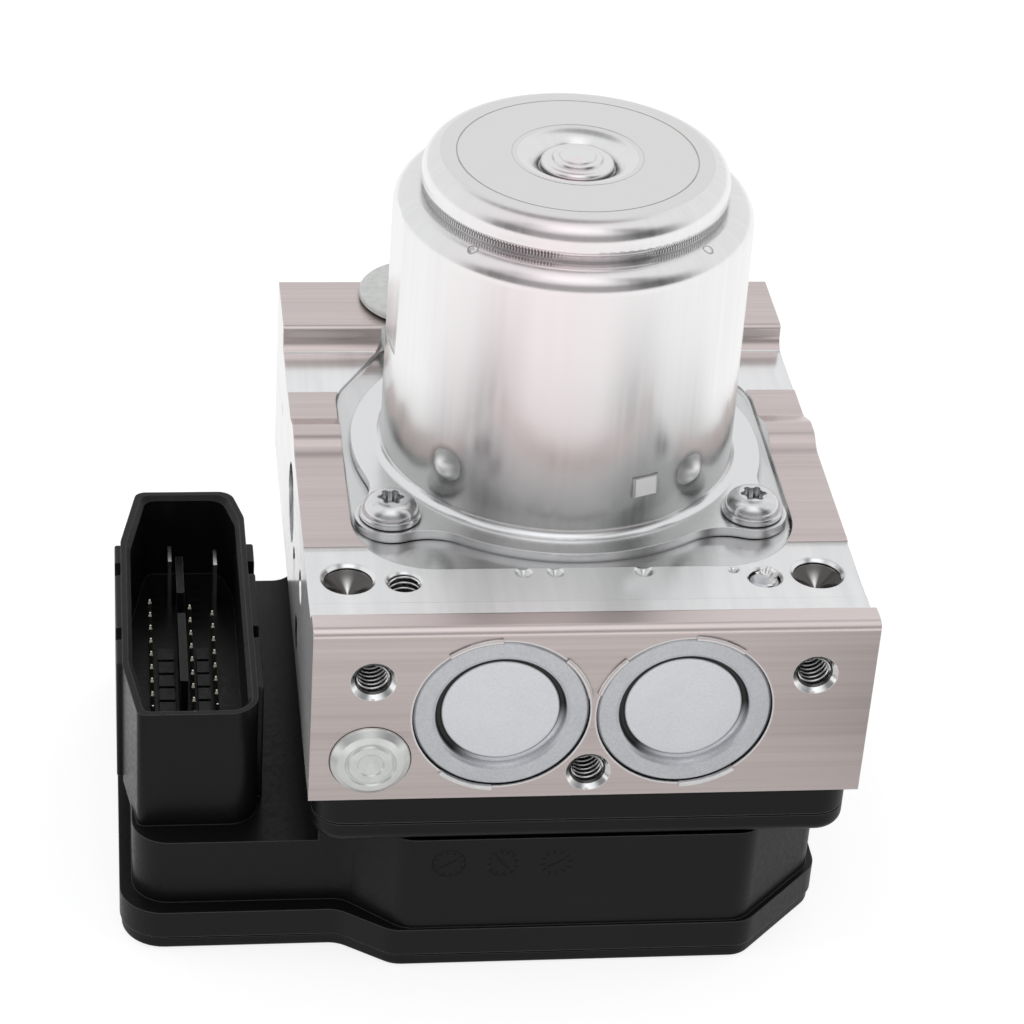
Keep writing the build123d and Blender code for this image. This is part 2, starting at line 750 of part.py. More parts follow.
def armature_winding():
    """The copper winding: bars in the slots and the end turns on both faces."""
    low = core_bottom()
    high = low + core_length
    end = 4.0
    inner = 7.0
    outer = core_radius - 1.6
    winding = column(outer, low - end, low) - column(inner, low - end, low)
    winding += column(outer, high, high + end) - column(inner, high, high + end)
    for step in range(slot_count):
        angle = 360 / slot_count * step
        fill = bar(slot_depth - 2.4, slot_width - 0.6, low, high, core_radius - slot_depth / 2 - 0.3, 0)
        winding += Rot(0, 0, angle) * fill
    return winding


def commutator():
    """Commutator on the shaft under the winding."""
    low = core_bottom() - 5.0 - commutator_height
    ring = column(commutator_radius, low, low + commutator_height)
    ring -= column(shaft_radius, low, low + commutator_height)
    for step in range(slot_count):
        cut = bar(2.0, 0.6, low, low + commutator_height, commutator_radius, 0)
        ring -= Rot(0, 0, 360 / slot_count * step) * cut
    return ring


def motor_magnets():
    """Four magnet shells around the armature."""
    inner = core_radius + magnet_gap
    outer = inner + magnet_thickness
    low = core_bottom() - 1.0
    ring = column(outer, low, low + core_length + 2) - column(inner, low, low + core_length + 2)
    for angle in (0, 90):
        ring -= Rot(0, 0, angle) * bar(80, 8, low, low + core_length + 2)
    return ring.solids()


def end_bush():
    """Bush in the cap's bearing cup."""
    inner = shaft_radius + running_clearance
    low = bearing_ceiling_z - bearing_cup_depth
    return column(bearing_cup_radius, low, bearing_ceiling_z) - column(inner, low, bearing_ceiling_z)


def lower_bearing():
    """Main bearing in the block under the motor."""
    inner = shaft_radius + running_clearance
    low = motor_seat_z - lower_bearing_height
    return column(lower_bearing_radius, low, motor_seat_z) - column(inner, low, motor_seat_z)


def tail_bearing():
    """Needle sleeve at the shaft's lower end."""
    high = pump_z - swept_radius + 1.0
    low = high - tail_bearing_height
    inner = tail_radius + running_clearance
    return column(tail_bearing_radius, low, high - 0.5) - column(inner, low, high - 0.5)


def brush_level():
    """Height of the brush plate's top."""
    return flange_top_z + brush_plate_thickness


def brush_plate():
    """Moulded plate that closes the motor's base and carries the brushes."""
    outer = motor_top_radius - can_wall - 0.1
    top = brush_level()
    plate = column(outer, motor_seat_z, top) - column(commutator_radius + 2, motor_seat_z, top)
    plate -= column(contact_radius, motor_seat_z, top, 0, contact_y)
    for side in (-1, 1):
        guide = bar(11, 8, top, top + 6, side * 17.5, 0)
        guide -= bar(12, 5, top, top + 4.6, side * 17.5, 0)
        plate += guide
    return plate


def brushes():
    """Carbon brushes on the commutator."""
    top = brush_level()
    return [bar(7, 4.6, top + 0.2, top + 4.4, side * (commutator_radius + running_clearance + 3.5), 0)
            for side in (-1, 1)]


def brush_springs():
    """Springs behind the brushes."""
    top = brush_level()
    start = commutator_radius + running_clearance + 7
    spring = coil_spring(1.5, 0.6, 5.6, 3)
    return [lying_along_x(spring, side, start, 0, top + 2.3) for side in (-1, 1)]


def motor_contact():
    """Contact rod from the circuit board to the brush plate."""
    return column(contact_radius, board_z + board_thickness, brush_level() + 1, 0, contact_y)


def contact_sleeve():
    """Insulating sleeve of the contact rod in the block."""
    sleeve = column(contact_sleeve_radius, block_z, motor_seat_z, 0, contact_y)
    return sleeve - column(contact_radius, block_z, motor_seat_z, 0, contact_y)


def valve_cavity_floor():
    """Lowest point inside a valve's dome."""
    return block_z - valve_dome_length + valve_dome_wall


def valve_cavity_ceiling():
    """Top of the space that the plunger moves in."""
    return valve_cavity_floor() + plunger_length + plunger_travel + 2 * valve_seal_gap


def valve_body(x, y):
    """A valve cartridge: dome below, pressed collar and a nose with the seat above."""
    floor = valve_cavity_floor()
    ceiling = valve_cavity_ceiling()
    nose_top = block_z + valve_bore_depth + valve_nose_length
    body = column(valve_dome_radius, floor - valve_dome_wall, block_z, x, y)
    body += column(valve_bore_radius, block_z, block_z + valve_bore_depth, x, y)
    body += column(valve_nose_radius, block_z, nose_top, x, y)
    body -= column(valve_dome_radius - valve_dome_wall, floor, ceiling, x, y)
    body -= column(tappet_radius + 0.1, ceiling, nose_top - 2.0, x, y)
    body -= column(0.45, nose_top - 2.1, nose_top + 1, x, y)
    cross = Pos(x, y, nose_top - 3.2) * Rot(0, 90, 0) * Cylinder(0.8, 2 * valve_nose_radius + 1)
    return body - cross


def valve_plunger(x, y, lifts):
    """Armature and tappet in one. An outlet valve's tappet is on its seat at rest, an inlet valve's is off it."""
    floor = valve_cavity_floor()
    low = floor + valve_seal_gap
    if not lifts:
        low += plunger_travel
    tip = block_z + valve_bore_depth + valve_nose_length - 2.0 - valve_seal_gap
    if lifts:
        tip -= plunger_travel
    radius = valve_dome_radius - valve_dome_wall - running_clearance
    return column(radius, low, low + plunger_length, x, y) + column(tappet_radius, low + plunger_length, tip, x, y)


def coil_low():
    """Height of the coils' underside."""
    return block_z - coil_drop - coil_height


def coil_windings():
    """The eight solenoid windings."""
    low = coil_low() + coil_shell
    high = low + coil_height - 2 * coil_shell
    outer = coil_outer_radius - coil_shell
    solids = []
    for x, y in valve_places():
        solids.append(column(outer, low, high, x, y) - column(coil_inner_radius + 0.6, low, high, x, y))
    return solids


def coil_yokes():
    """The eight steel cans around the windings."""
    low = coil_low()
    high = low + coil_height
    solids = []
    for x, y in valve_places():
        can = column(coil_outer_radius, low, high, x, y) - column(coil_inner_radius, low, high, x, y)
        can -= (column(coil_outer_radius - coil_shell, low + coil_shell, high - coil_shell, x, y)
                - column(coil_inner_radius + 0.6, low + coil_shell, high - coil_shell, x, y))
        solids.append(can)
    return solids


def unit_screw_places():
    """The four screws that hold the housing under the block."""
    return [(side * unit_screw_x, y) for side in (-1, 1) for y in (-unit_screw_front, unit_screw_back)]


def socket_pin_places():
    """Each signal pin's place in plan."""
    return [(x, back - pin_pitch * step) for x, back, count in pin_rows for step in range(count)]


def ecu_housing():
    """The moulded housing: flange, walls, deck, collar and plug socket in one piece."""
    housing = Pos(0, 0, flange_z) * extrude(flange_outline(), flange_height)
    walls = Pos(0, 0, wall_z) * extrude(unit_outline(), plug_deck_height)
    main = unit_outline() - Pos(-unit_left, 0) * Rectangle(2 * (unit_left - plug_deck_right), 300)
    tower = Pos(0, 0, wall_z) * extrude(main, main_wall_height)
    collar = Pos(0, 0, collar_z) * extrude(collar_outline(), collar_height)
    lower_edges = collar.edges().group_by(Axis.Z)[0]
    collar = fillet(lower_edges, 1.8)
    seam = extrude(collar_outline() - collar_outline(0.25), 0.25)
    collar -= Pos(0, 0, collar_z + 3.6) * seam
    housing += walls + tower + collar

    # Plug socket: body, side rails and its open cavity
    body = Pos(0, 0, deck_z - 1) * extrude(socket_outline(), socket_rim_z - deck_z + 1)
    rail_top = socket_rim_z - rail_drop
    rail_left = bar(rail_height + 1.0, rail_back + 29.0, deck_z - 1, rail_top,
                    -socket_left - rail_height / 2 + 0.5, (rail_back - 29.0) / 2)
    rail_right = bar(rail_height + 1.0, rail_back + 36.0, deck_z - 1, rail_top,
                     -socket_right + rail_height / 2 - 0.5, (rail_back - 36.0) / 2)
    rails = fillet(rail_left.edges(), rail_edge) + fillet(rail_right.edges(), rail_edge)
    for front, back in rail_windows:
        rails -= bar(60, back - front, socket_rim_z - 7.0, socket_rim_z, -(socket_left + socket_right) / 2,
                     (front + back) / 2)
    housing += body + rails
    housing -= Pos(0, 0, socket_floor_z) * extrude(socket_outline(socket_wall), socket_rim_z - socket_floor_z + 1)
    lower_mouth = Pos(0, 0, socket_rim_z - socket_rim_chamfer) * socket_outline(socket_wall)
    upper_mouth = Pos(0, 0, socket_rim_z) * socket_outline(socket_wall - socket_rim_chamfer)
    housing -= loft([lower_mouth, upper_mouth])

    # Ribs and cells on the socket's floor
    for front, back in rib_spans:
        housing += bar(rib_thickness, back - front, socket_floor_z - 0.5, socket_floor_z + rib_height, rib_x,
                       (front + back) / 2)
    for x, width in cell_rows:
        for step in range(cell_count):
            y = cell_front + pin_pitch * (step + 0.5)
            housing += bar(width, pin_pitch - 0.7, socket_floor_z - 0.5, socket_floor_z + cell_height, x, y)

    # Inside: the cavity under the deck, the raised part under the socket and the window to the valves
    inner = unit_outline(-housing_wall, -housing_wall, -housing_wall, -housing_wall, -housing_wall)
    housing -= Pos(0, 0, flange_z - 1) * extrude(inner, deck_z - housing_wall - flange_z + 1)
    under_socket = socket_floor_z - socket_floor_thickness - deck_z + housing_wall + 0.5
    housing -= Pos(0, 0, deck_z - housing_wall - 0.5) * extrude(socket_outline(socket_wall + 0.6), under_socket)
    window = collar_outline(window_margin) & inner
    window_z = deck_z - housing_wall - 0.5
    housing -= Pos(0, 0, window_z) * extrude(window, block_z - window_z + 1)
    for x, y in unit_screw_places():
        boss = column(boss_radius, block_z - unit_screw_grip, block_z - 0.6, x, y)
        side = 1 if x > 0 else -1
        boss += bar(boss_radius, boss_radius, block_z - unit_screw_grip, block_z - 0.6, x + side * boss_radius / 2, y)
        housing += boss
        housing -= column(unit_screw_radius + 0.2, block_z - unit_screw_grip - 1, block_z + 1, x, y)
    groove = collar_outline(1.0) - collar_outline(2.2)
    housing -= Pos(0, 0, block_z - 1.0) * extrude(groove, 2)
    for x, y in socket_pin_places():
        housing -= bar(pin_size, pin_size, board_z, socket_floor_z + 1, x, y)
    for x, y in blade_places:
        housing -= bar(blade_thickness, blade_width, board_z, socket_floor_z + 1, x, y)
    return housing


def ecu_cover():
    """Flat cover with a rounded lower edge."""
    cover = extrude(flange_outline(0.3), cover_height)
    return fillet(cover.edges().group_by(Axis.Z)[0], min(0.6, cover_height / 3))


def cover_seal():
    """Seal line between the housing and the cover."""
    outer = unit_outline(-0.4, -0.4, -0.4, -0.4, -0.4)
    inner = unit_outline(-housing_wall, -housing_wall, -housing_wall, -housing_wall, -housing_wall)
    return Pos(0, 0, cover_height) * extrude(outer - inner, cover_seal_height)


def block_gasket():
    """Gasket in the groove of the collar's top."""
    return Pos(0, 0, block_z - 1.0) * extrude(collar_outline(1.0) - collar_outline(2.2), 1.0)


def circuit_board():
    """Circuit board above the cover, with holes for the contacts."""
    margin = -(housing_wall + board_clearance)
    board = Pos(0, 0, board_z) * extrude(unit_outline(margin, margin, margin, margin, margin), board_thickness)
    for x, y in socket_pin_places():
        board -= bar(pin_size, pin_size, board_z, board_z + board_thickness, x, y)
    for x, y in blade_places:
        board -= bar(blade_thickness, blade_width, board_z, board_z + board_thickness, x, y)
    return board


def signal_pins():
    """Square signal pins with pointed tips, from the board up into the socket."""
    top = socket_floor_z + pin_height
    pin = bar(pin_size, pin_size, board_z, top - 0.6)
    low_face = Pos(0, 0, top - 0.6) * Rectangle(pin_size, pin_size)
    tip = loft([low_face, Pos(0, 0, top) * Rectangle(pin_size * 0.4, pin_size * 0.4)])
    pin += tip
    return [Pos(x, y, 0) * pin for x, y in socket_pin_places()]


def power_blades():
    """The two flat supply contacts."""
    top = socket_floor_z + blade_height
    return [bar(blade_thickness, blade_width, board_z, top, x, y) for x, y in blade_places]


def unit_screw():
    """Pan head screw, its seat at height 0 and its head below."""
    head = column(unit_screw_head_radius, -unit_screw_head_height, 0)
    shank = column(unit_screw_radius, 0, unit_screw_grip + unit_screw_bite)
    return head + shank


def ecu_screws():
    """The screws of the housing, driven up into the block."""
    return [Pos(x, y, block_z - unit_screw_grip) * unit_screw() for x, y in unit_screw_places()]


def sealing_balls():
    """Balls pressed into the side drillings."""
    balls = []
    for side in (-1, 1):
        for back, height, radius in side_ball_places:
            x = side * (block_half - radius - ball_setback)
            balls.append(Pos(x, front_row + back, block_z + height) * Sphere(radius))
    return balls


def ledge_plug():
    """Staked plug in the ledge's right-hand drilling."""
    plug = turned(((0, -5), (bracket_hole_radius, -5), (bracket_hole_radius, -0.8), (1.7, -0.35), (0, -0.1)))
    return Pos(ledge_hole_x, front_row + ledge_hole_back, block_z + ledge_height) * plug


def save(name, solids):
    """Write one sub-part's file."""
    items = solids if isinstance(solids, (list, tuple, ShapeList)) else [solids]
    flat = [solid for item in items for solid in item.solids()]
    shape = flat[0] if len(flat) == 1 else Compound(children=flat)
    export_step(shape, f"parts/{name}.step")


def build():
    """Make every sub-part and write it."""
    os.makedirs("parts", exist_ok=True)
    save("hydraulic_block", hydraulic_block())
    save("motor_can", motor_can())
    save("motor_screws", motor_screws())
    save("damper_cap", damper_cap())
    save("transport_plugs", transport_plugs())
    save("sealing_balls", sealing_balls())
    save("ledge_plug", ledge_plug())

    cover_z = block_z + accumulator_height
    cover_seat = front_row + accumulator_cover_thickness
    piston_end = front_row + accumulator_depth - 0.3
    spring_seat = piston_end - 2.4
    spring_length = spring_seat - cover_seat
    for name, side in (("left", -1), ("right", 1)):
        x = side * accumulator_x
        save(f"accumulator_cover_{name}", lying_along_y(accumulator_cover(), x, front_row, cover_z))
        save(f"accumulator_piston_{name}", lying_along_y(accumulator_piston(), x, piston_end, cover_z))
        save(f"piston_seal_{name}", lying_along_y(piston_seal(), x, piston_end, cover_z))
        spring = coil_spring(6.8, 1.3, spring_length, 4)
        save(f"accumulator_spring_{name}", lying_along_y(spring, x, spring_seat, cover_z))
        save(f"pump_plug_{name}", lying_along_x(pump_plug(), side, pump_plug_face, 0, pump_z))
        sleeve_start = pump_plug_inner - pump_sleeve_length
        save(f"pump_sleeve_{name}", lying_along_x(pump_sleeve(), side, sleeve_start, 0, pump_z))
        save(f"pump_piston_{name}", lying_along_x(pump_piston(), side, pump_piston_start, 0, pump_z))
        spring_start = pump_piston_start + pump_piston_length
        return_spring = coil_spring(2.3, 0.8, pump_plug_inner - spring_start, 5)
        save(f"pump_spring_{name}", lying_along_x(return_spring, side, spring_start, 0, pump_z))

    save("rotor_shaft", rotor_shaft())
    save("eccentric_bearing", eccentric_bearing())
    save("armature_core", armature_core())
    save("armature_winding", armature_winding())
    save("commutator", commutator())
    save("motor_magnets", motor_magnets())
    save("end_bush", end_bush())
    save("lower_bearing", lower_bearing())
    save("tail_bearing", tail_bearing())
    save("brush_plate", brush_plate())
    save("brushes", brushes())
    save("brush_springs", brush_springs())
    save("motor_contact", motor_contact())
    save("contact_sleeve", contact_sleeve())

    places = valve_places()
    save("inlet_valve_bodies", [valve_body(x, y) for x, y in places[:4]])
    save("outlet_valve_bodies", [valve_body(x, y) for x, y in places[4:]])
    for number, (x, y) in enumerate(places):
        inlet = number < 4
        kind = "inlet" if inlet else "outlet"
        save(f"{kind}_plunger_{number % 4 + 1}", valve_plunger(x, y, inlet))
    save("coil_windings", coil_windings())
    save("coil_yokes", coil_yokes())

    save("ecu_housing", ecu_housing())
    save("ecu_cover", ecu_cover())
    save("cover_seal", cover_seal())
    save("block_gasket", block_gasket())
    save("circuit_board", circuit_board())
    save("signal_pins", signal_pins())
    save("power_blades", power_blades())
    save("ecu_screws", ecu_screws())


build()
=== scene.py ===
import json
from math import atan2, cos, pi, radians, sin

import bpy
from mathutils import Matrix, Vector


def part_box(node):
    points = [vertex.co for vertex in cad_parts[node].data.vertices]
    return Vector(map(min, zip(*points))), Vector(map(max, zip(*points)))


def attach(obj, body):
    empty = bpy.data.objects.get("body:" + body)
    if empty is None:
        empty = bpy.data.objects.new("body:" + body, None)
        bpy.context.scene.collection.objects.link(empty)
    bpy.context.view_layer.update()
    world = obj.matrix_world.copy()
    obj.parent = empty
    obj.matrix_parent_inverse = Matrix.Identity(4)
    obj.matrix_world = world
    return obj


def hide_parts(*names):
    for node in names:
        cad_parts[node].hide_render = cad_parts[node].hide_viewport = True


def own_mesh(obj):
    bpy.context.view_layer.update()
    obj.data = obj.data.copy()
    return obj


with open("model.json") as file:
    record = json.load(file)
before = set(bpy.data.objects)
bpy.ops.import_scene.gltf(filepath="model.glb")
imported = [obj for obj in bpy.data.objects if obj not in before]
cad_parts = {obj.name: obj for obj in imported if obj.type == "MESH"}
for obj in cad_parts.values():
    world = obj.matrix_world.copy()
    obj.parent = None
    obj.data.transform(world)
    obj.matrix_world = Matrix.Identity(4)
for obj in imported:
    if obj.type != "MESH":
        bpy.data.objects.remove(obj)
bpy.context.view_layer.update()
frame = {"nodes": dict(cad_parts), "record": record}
nodes = frame["nodes"]
MM = 0.001
MODULE = "modulator"

# Places in millimetres, read from the CAD model
block_low, block_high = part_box("hydraulic_block")
block_z = block_low.z / MM
block_front = block_low.y / MM
block_back = block_high.y / MM
block_half = block_high.x / MM
cap_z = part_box("motor_can")[1].z / MM

# Places in millimetres, measured in the photograph
ledge_z = block_z + 29.1
extruded_z = ledge_z + 0.25
shoulder_z = block_z + 76.0
front_holes = ((-33.75, 22.25), (33.75, 22.25), (0.0, 4.5))
thread_radius = 2.5
ledge_hole = (-28.1, block_front + 16.6)
cover_places = ((-14.08, 15.75), (14.08, 15.75))
damper_place = (-33.76, 7.6)
locating_cones = ((-36.6, -38.2), (36.6, -38.2))
bump_height = 38.2
socket_columns = (-65.3, -58.1)

# Directions round the motor in degrees, measured in the photograph
bump_turns = (-135, -51, 45, 129)
tab_bearing = -69.0
plain_neck_bearing = -86.0
pink_reflection_bearing = -108.0

# Mould clocks on the housing's front wall: x, z, strength of the ring, turn of the bar
mould_clocks = ((-20.6, 20.6, 1.0, 0.55), (-12.1, 20.55, 0.35, -0.9), (-3.7, 20.3, 0.0, 0.5))

# Where each cover's edge is staked, in degrees from X
lip_spans = (((92, 127), (13, 47), (230, 267)), ((53, 87), (134, 165), (271, 308)))


def point(x, y, z):
    """A place in millimetres as a vector in metres."""
    return Vector((x * MM, y * MM, z * MM))


def grey(level):
    """A neutral colour."""
    return (level, level, level)


def dimmed(colour, share):
    """A colour made darker."""
    return tuple(channel * share for channel in colour)


# Short forms for shader nodes


def feed(tree, socket, value):
    """Give a socket a number, a colour or vector, or a link."""
    if isinstance(value, (int, float)):
        socket.default_value = value
    elif isinstance(value, tuple):
        socket.default_value = (*value, 1) if socket.type == "RGBA" else value
    else:
        tree.links.new(value, socket)


def math_node(tree, operation, *values, clamp=False):
    """A Math node fed by sockets or numbers."""
    node = tree.nodes.new("ShaderNodeMath")
    node.operation = operation
    node.use_clamp = clamp
    for socket, value in zip(node.inputs, values):
        feed(tree, socket, value)
    return node.outputs[0]


def vector_node(tree, operation, *values):
    """A Vector Math node fed by sockets or vectors."""
    node = tree.nodes.new("ShaderNodeVectorMath")
    node.operation = operation
    for socket, value in zip(node.inputs, values):
        feed(tree, socket, value)
    return node.outputs["Value" if operation in ("DOT_PRODUCT", "LENGTH") else "Vector"]


def fold(tree, operation, values):
    """Values joined one after another by the same Math operation."""
    total = values[0]
    for value in values[1:]:
        total = math_node(tree, operation, total, value)
    return total


def product(tree, *values):
    """Values multiplied."""
    return fold(tree, "MULTIPLY", values)


def total_of(tree, *values):
    """Values added."""
    return fold(tree, "ADD", values)


def largest(tree, *values):
    """The largest of some values."""
    return fold(tree, "MAXIMUM", values)


def without(tree, share):
    """What a share leaves of one."""
    return math_node(tree, "SUBTRACT", 1.0, share)


def apart(tree, first, second):
    """How far two values are apart."""
    return math_node(tree, "ABSOLUTE", math_node(tree, "SUBTRACT", first, second))


def distance(tree, first, second):
    """The length of a way with two legs at a right angle."""
    squares = [math_node(tree, "POWER", leg, 2.0) for leg in (first, second)]
    return math_node(tree, "SQRT", total_of(tree, *squares))


def above(tree, value, limit):
    """1 where a value in metres is over a limit in millimetres."""
    return math_node(tree, "GREATER_THAN", value, limit * MM)


def below(tree, value, limit):
    """1 where a value in metres is under a limit in millimetres."""
    return math_node(tree, "LESS_THAN", value, limit * MM)


def smooth_range(tree, value, low, high, bottom=0.0, top=1.0):
    """A smooth step from one value to another."""
    node = tree.nodes.new("ShaderNodeMapRange")
    node.interpolation_type = "SMOOTHSTEP"
    tree.links.new(value, node.inputs["Value"])
    node.inputs["From Min"].default_value = low
    node.inputs["From Max"].default_value = high
    node.inputs["To Min"].default_value = bottom
    node.inputs["To Max"].default_value = top
    return node.outputs["Result"]


def fading(tree, value, low, high, before=1.0, after=0.0):
    """A smooth step down, or between other levels, for a value in metres with limits in millimetres."""
    return smooth_range(tree, value, low * MM, high * MM, before, after)


def rising(tree, value, low, high):
    """0 up to low and 1 from high on, both in millimetres, for a value in metres."""
    return smooth_range(tree, value, low * MM, high * MM)


def band(tree, value, start, full, fade, end):
    """1 between full and fade, and 0 up to start and from end on, all in millimetres."""
    return product(tree, rising(tree, value, start, full), fading(tree, value, fade, end))


def parts_of(tree, vector):
    """The x, y and z of a vector."""
    split = tree.nodes.new("ShaderNodeSeparateXYZ")
    tree.links.new(vector, split.inputs["Vector"])
    return split.outputs["X"], split.outputs["Y"], split.outputs["Z"]


def object_place(tree):
    """The place of a point on the piece, in metres."""
    return tree.nodes.new("ShaderNodeTexCoord").outputs["Object"]


def ramp(tree, source, *stops):
    """A colour ramp over a value; each stop is a position and a colour."""
    node = tree.nodes.new("ShaderNodeValToRGB")
    while len(node.color_ramp.elements) < len(stops):
        node.color_ramp.elements.new(0.5)
    for element, (place, colour) in zip(node.color_ramp.elements, stops):
        element.position = place
        element.color = (*colour, 1)
    tree.links.new(source, node.inputs["Fac"])
    return node.outputs["Color"]


def mix_colour(tree, share, first, second):
    """Mix two colours, each a socket or three numbers."""
    node = tree.nodes.new("ShaderNodeMix")
    node.data_type = "RGBA"
    for socket, value in ((node.inputs[0], share), (node.inputs[6], first), (node.inputs[7], second)):
        feed(tree, socket, value)
    return node.outputs[2]


def place_group(tree, group, **values):
    """Put a group into a material with its own values."""
    node = tree.nodes.new("ShaderNodeGroup")
    node.node_tree = group
    for label, value in values.items():
        node.inputs[label].default_value = value
    return node


def streak(tree, stretch, detail=3.0):
    """The value of the streaks group."""
    return place_group(tree, streaks, Stretch=stretch, Detail=detail).outputs["Value"]


def from_axis(tree, centre, axis):
    """How far a point is from an axis, in metres."""
    return place_group(tree, turned_place, Centre=centre, Axis=axis).outputs["Radius"]


def line_at(tree, value, level, width):
    """1 along a thin line where a value in metres passes a level; level and width are in millimetres."""
    line = place_group(tree, thin_line, Level=level * MM, Width=width * MM)
    tree.links.new(value, line.inputs["Value"])
    return line.outputs["Mask"]


def new_material(name, metallic, roughness, specular=0.5):
    """A material with its Principled shader."""
    material = bpy.data.materials.new(name)
    material.use_nodes = True
    shader = material.node_tree.nodes["Principled BSDF"]
    shader.inputs["Metallic"].default_value = metallic
    shader.inputs["Roughness"].default_value = roughness
    shader.inputs["Specular IOR Level"].default_value = specular
    return material, material.node_tree, shader


# Camera and studio


def make_camera():
    """The camera where the photograph was taken from."""
    bpy.ops.object.camera_add(location=point(-73.55, -445.2, 342.9))
    camera = bpy.context.object
    camera.name = "photo_camera"
    camera.data.sensor_width = 36.0
    camera.data.lens = 113.68
    camera.data.clip_start = 0.01
    camera.data.clip_end = 20.0
    yaw = Matrix.Rotation(radians(-8.59), 4, "Z")
    pitch = Matrix.Rotation(radians(90 - 33.06), 4, "X")
    roll = Matrix.Rotation(radians(4.13), 4, "Z")
    camera.matrix_world = Matrix.Translation(camera.location) @ yaw @ pitch @ roll
    bpy.context.scene.camera = camera


def dark_strips(tree, bearing, strips):
    """Soft dark strips in front, each a bearing, a half width and a depth; 1 elsewhere."""
    levels = []
    for centre, width, depth in strips:
        away = apart(tree, bearing, radians(centre))
        levels.append(smooth_range(tree, away, 0.0, radians(width), 1.0 - depth, 1.0))
    return product(tree, *levels)


def make_floor():
    """A pale floor. Only metal reflects the two dark strips on it and the shade in front of the part."""
    bpy.ops.mesh.primitive_plane_add(size=6.0, location=(0, 0, 0))
    floor = bpy.context.object
    floor.name = "studio_floor"
    material, tree, shader = new_material("pale_floor", 0.0, 0.9, 0.0)
    shader.inputs["Base Color"].default_value = (*grey(0.36), 1)
    shader.inputs["Emission Strength"].default_value = 0.78
    shader.inputs["Emission Color"].default_value = (1, 1, 1, 1)
    x, y = parts_of(tree, object_place(tree))[:2]
    forward = math_node(tree, "MULTIPLY", y, -1.0)
    bearing = math_node(tree, "ARCTAN2", x, forward)
    reach = distance(tree, x, y)
    strips = dark_strips(tree, bearing, ((-48.0, 25.0, 0.86), (36.0, 24.0, 0.86)))
    on_strips = band(tree, reach, 115, 145, 150, 212)
    strips = total_of(tree, product(tree, strips, on_strips), without(tree, on_strips))
    in_front = smooth_range(tree, forward, -0.03, 0.03)
    front_level = fading(tree, reach, 150, 195, 0.62, 1.0)
    shade = product(tree, in_front, without(tree, front_level))
    glow = product(tree, without(tree, shade), strips)
    path = tree.nodes.new("ShaderNodeLightPath")
    plain = tree.nodes.new("ShaderNodeEmission")
    mixed = tree.nodes.new("ShaderNodeMixShader")
    tree.links.new(glow, plain.inputs["Strength"])
    tree.links.new(path.outputs["Is Glossy Ray"], mixed.inputs["Fac"])
    tree.links.new(shader.outputs["BSDF"], mixed.inputs[1])
    tree.links.new(plain.outputs["Emission"], mixed.inputs[2])
    tree.links.new(mixed.outputs["Shader"], tree.nodes["Material Output"].inputs["Surface"])
    floor.data.materials.append(material)


def softbox(name, place, colour):
    """A large soft light that looks at the part and leaves no image of itself in the metal."""
    bpy.ops.object.light_add(type="AREA", location=point(*place))
    light = bpy.context.object
    light.name = name
    light.data.shape = "RECTANGLE"
    light.data.size = 700 * MM
    light.data.size_y = 820 * MM
    light.data.energy = 1.35
    light.data.color = colour
    light.visible_glossy = False
    aim = point(0, 0, 60) - light.location
    light.rotation_euler = aim.to_track_quat("-Z", "Y").to_euler()


def make_studio():
    """A pale surround, dim low down in front with two darker strips, and soft lights from both sides.

    High up in front it is a little brighter, and high up behind there is a dark gap.
    """
    world = bpy.data.worlds.new("studio")
    world.use_nodes = True
    tree = world.node_tree
    background = tree.nodes["Background"]
    direction = tree.nodes.new("ShaderNodeTexCoord").outputs["Generated"]
    x, y, height = parts_of(tree, direction)
    forward = math_node(tree, "MULTIPLY", y, -1.0)
    bearing = math_node(tree, "ARCTAN2", x, forward)
    in_front = smooth_range(tree, forward, 0.10, 0.50)
    front_level = smooth_range(tree, height, 0.41, 0.72, 0.38, 0.95)
    strips = dark_strips(tree, bearing, ((-56.0, 30.0, 0.45), (46.0, 28.0, 0.72)))
    front = product(tree, front_level, strips, in_front)
    behind = product(tree, without(tree, in_front), 0.85)
    to_patch = vector_node(tree, "DOT_PRODUCT", direction, (0.0, -0.375, 0.927))
    patch = smooth_range(tree, to_patch, 0.90, 0.985, 0.0, 0.22)
    to_gap = vector_node(tree, "DOT_PRODUCT", direction, (0.0, 0.47, 0.883))
    gap = smooth_range(tree, to_gap, 0.93, 0.995, 0.0, 0.48)
    level = math_node(tree, "SUBTRACT", total_of(tree, front, behind, patch), gap)
    tree.links.new(level, background.inputs["Strength"])
    background.inputs["Color"].default_value = (0.985, 0.99, 1.0, 1)
    bpy.context.scene.world = world
    softbox("left_light", (-900, 100, 420), (0.95, 0.98, 1.0))
    softbox("right_light", (900, 100, 400), (1.0, 0.98, 0.96))
    bpy.context.scene.view_settings.view_transform = "Standard"


# Shader groups: each puts out only values, masks, colours or normals


def new_group(name, inputs, outputs):
    """An empty shader node group. Each socket is given with a number or a vector."""
    group = bpy.data.node_groups.new(name, "ShaderNodeTree")
    for side, sockets in (("INPUT", inputs), ("OUTPUT", outputs)):
        for label, value in sockets.items():
            kind = "NodeSocketVector" if isinstance(value, tuple) else "NodeSocketFloat"
            group.interface.new_socket(label, in_out=side, socket_type=kind).default_value = value
    return group, group.nodes.new("NodeGroupInput"), group.nodes.new("NodeGroupOutput")


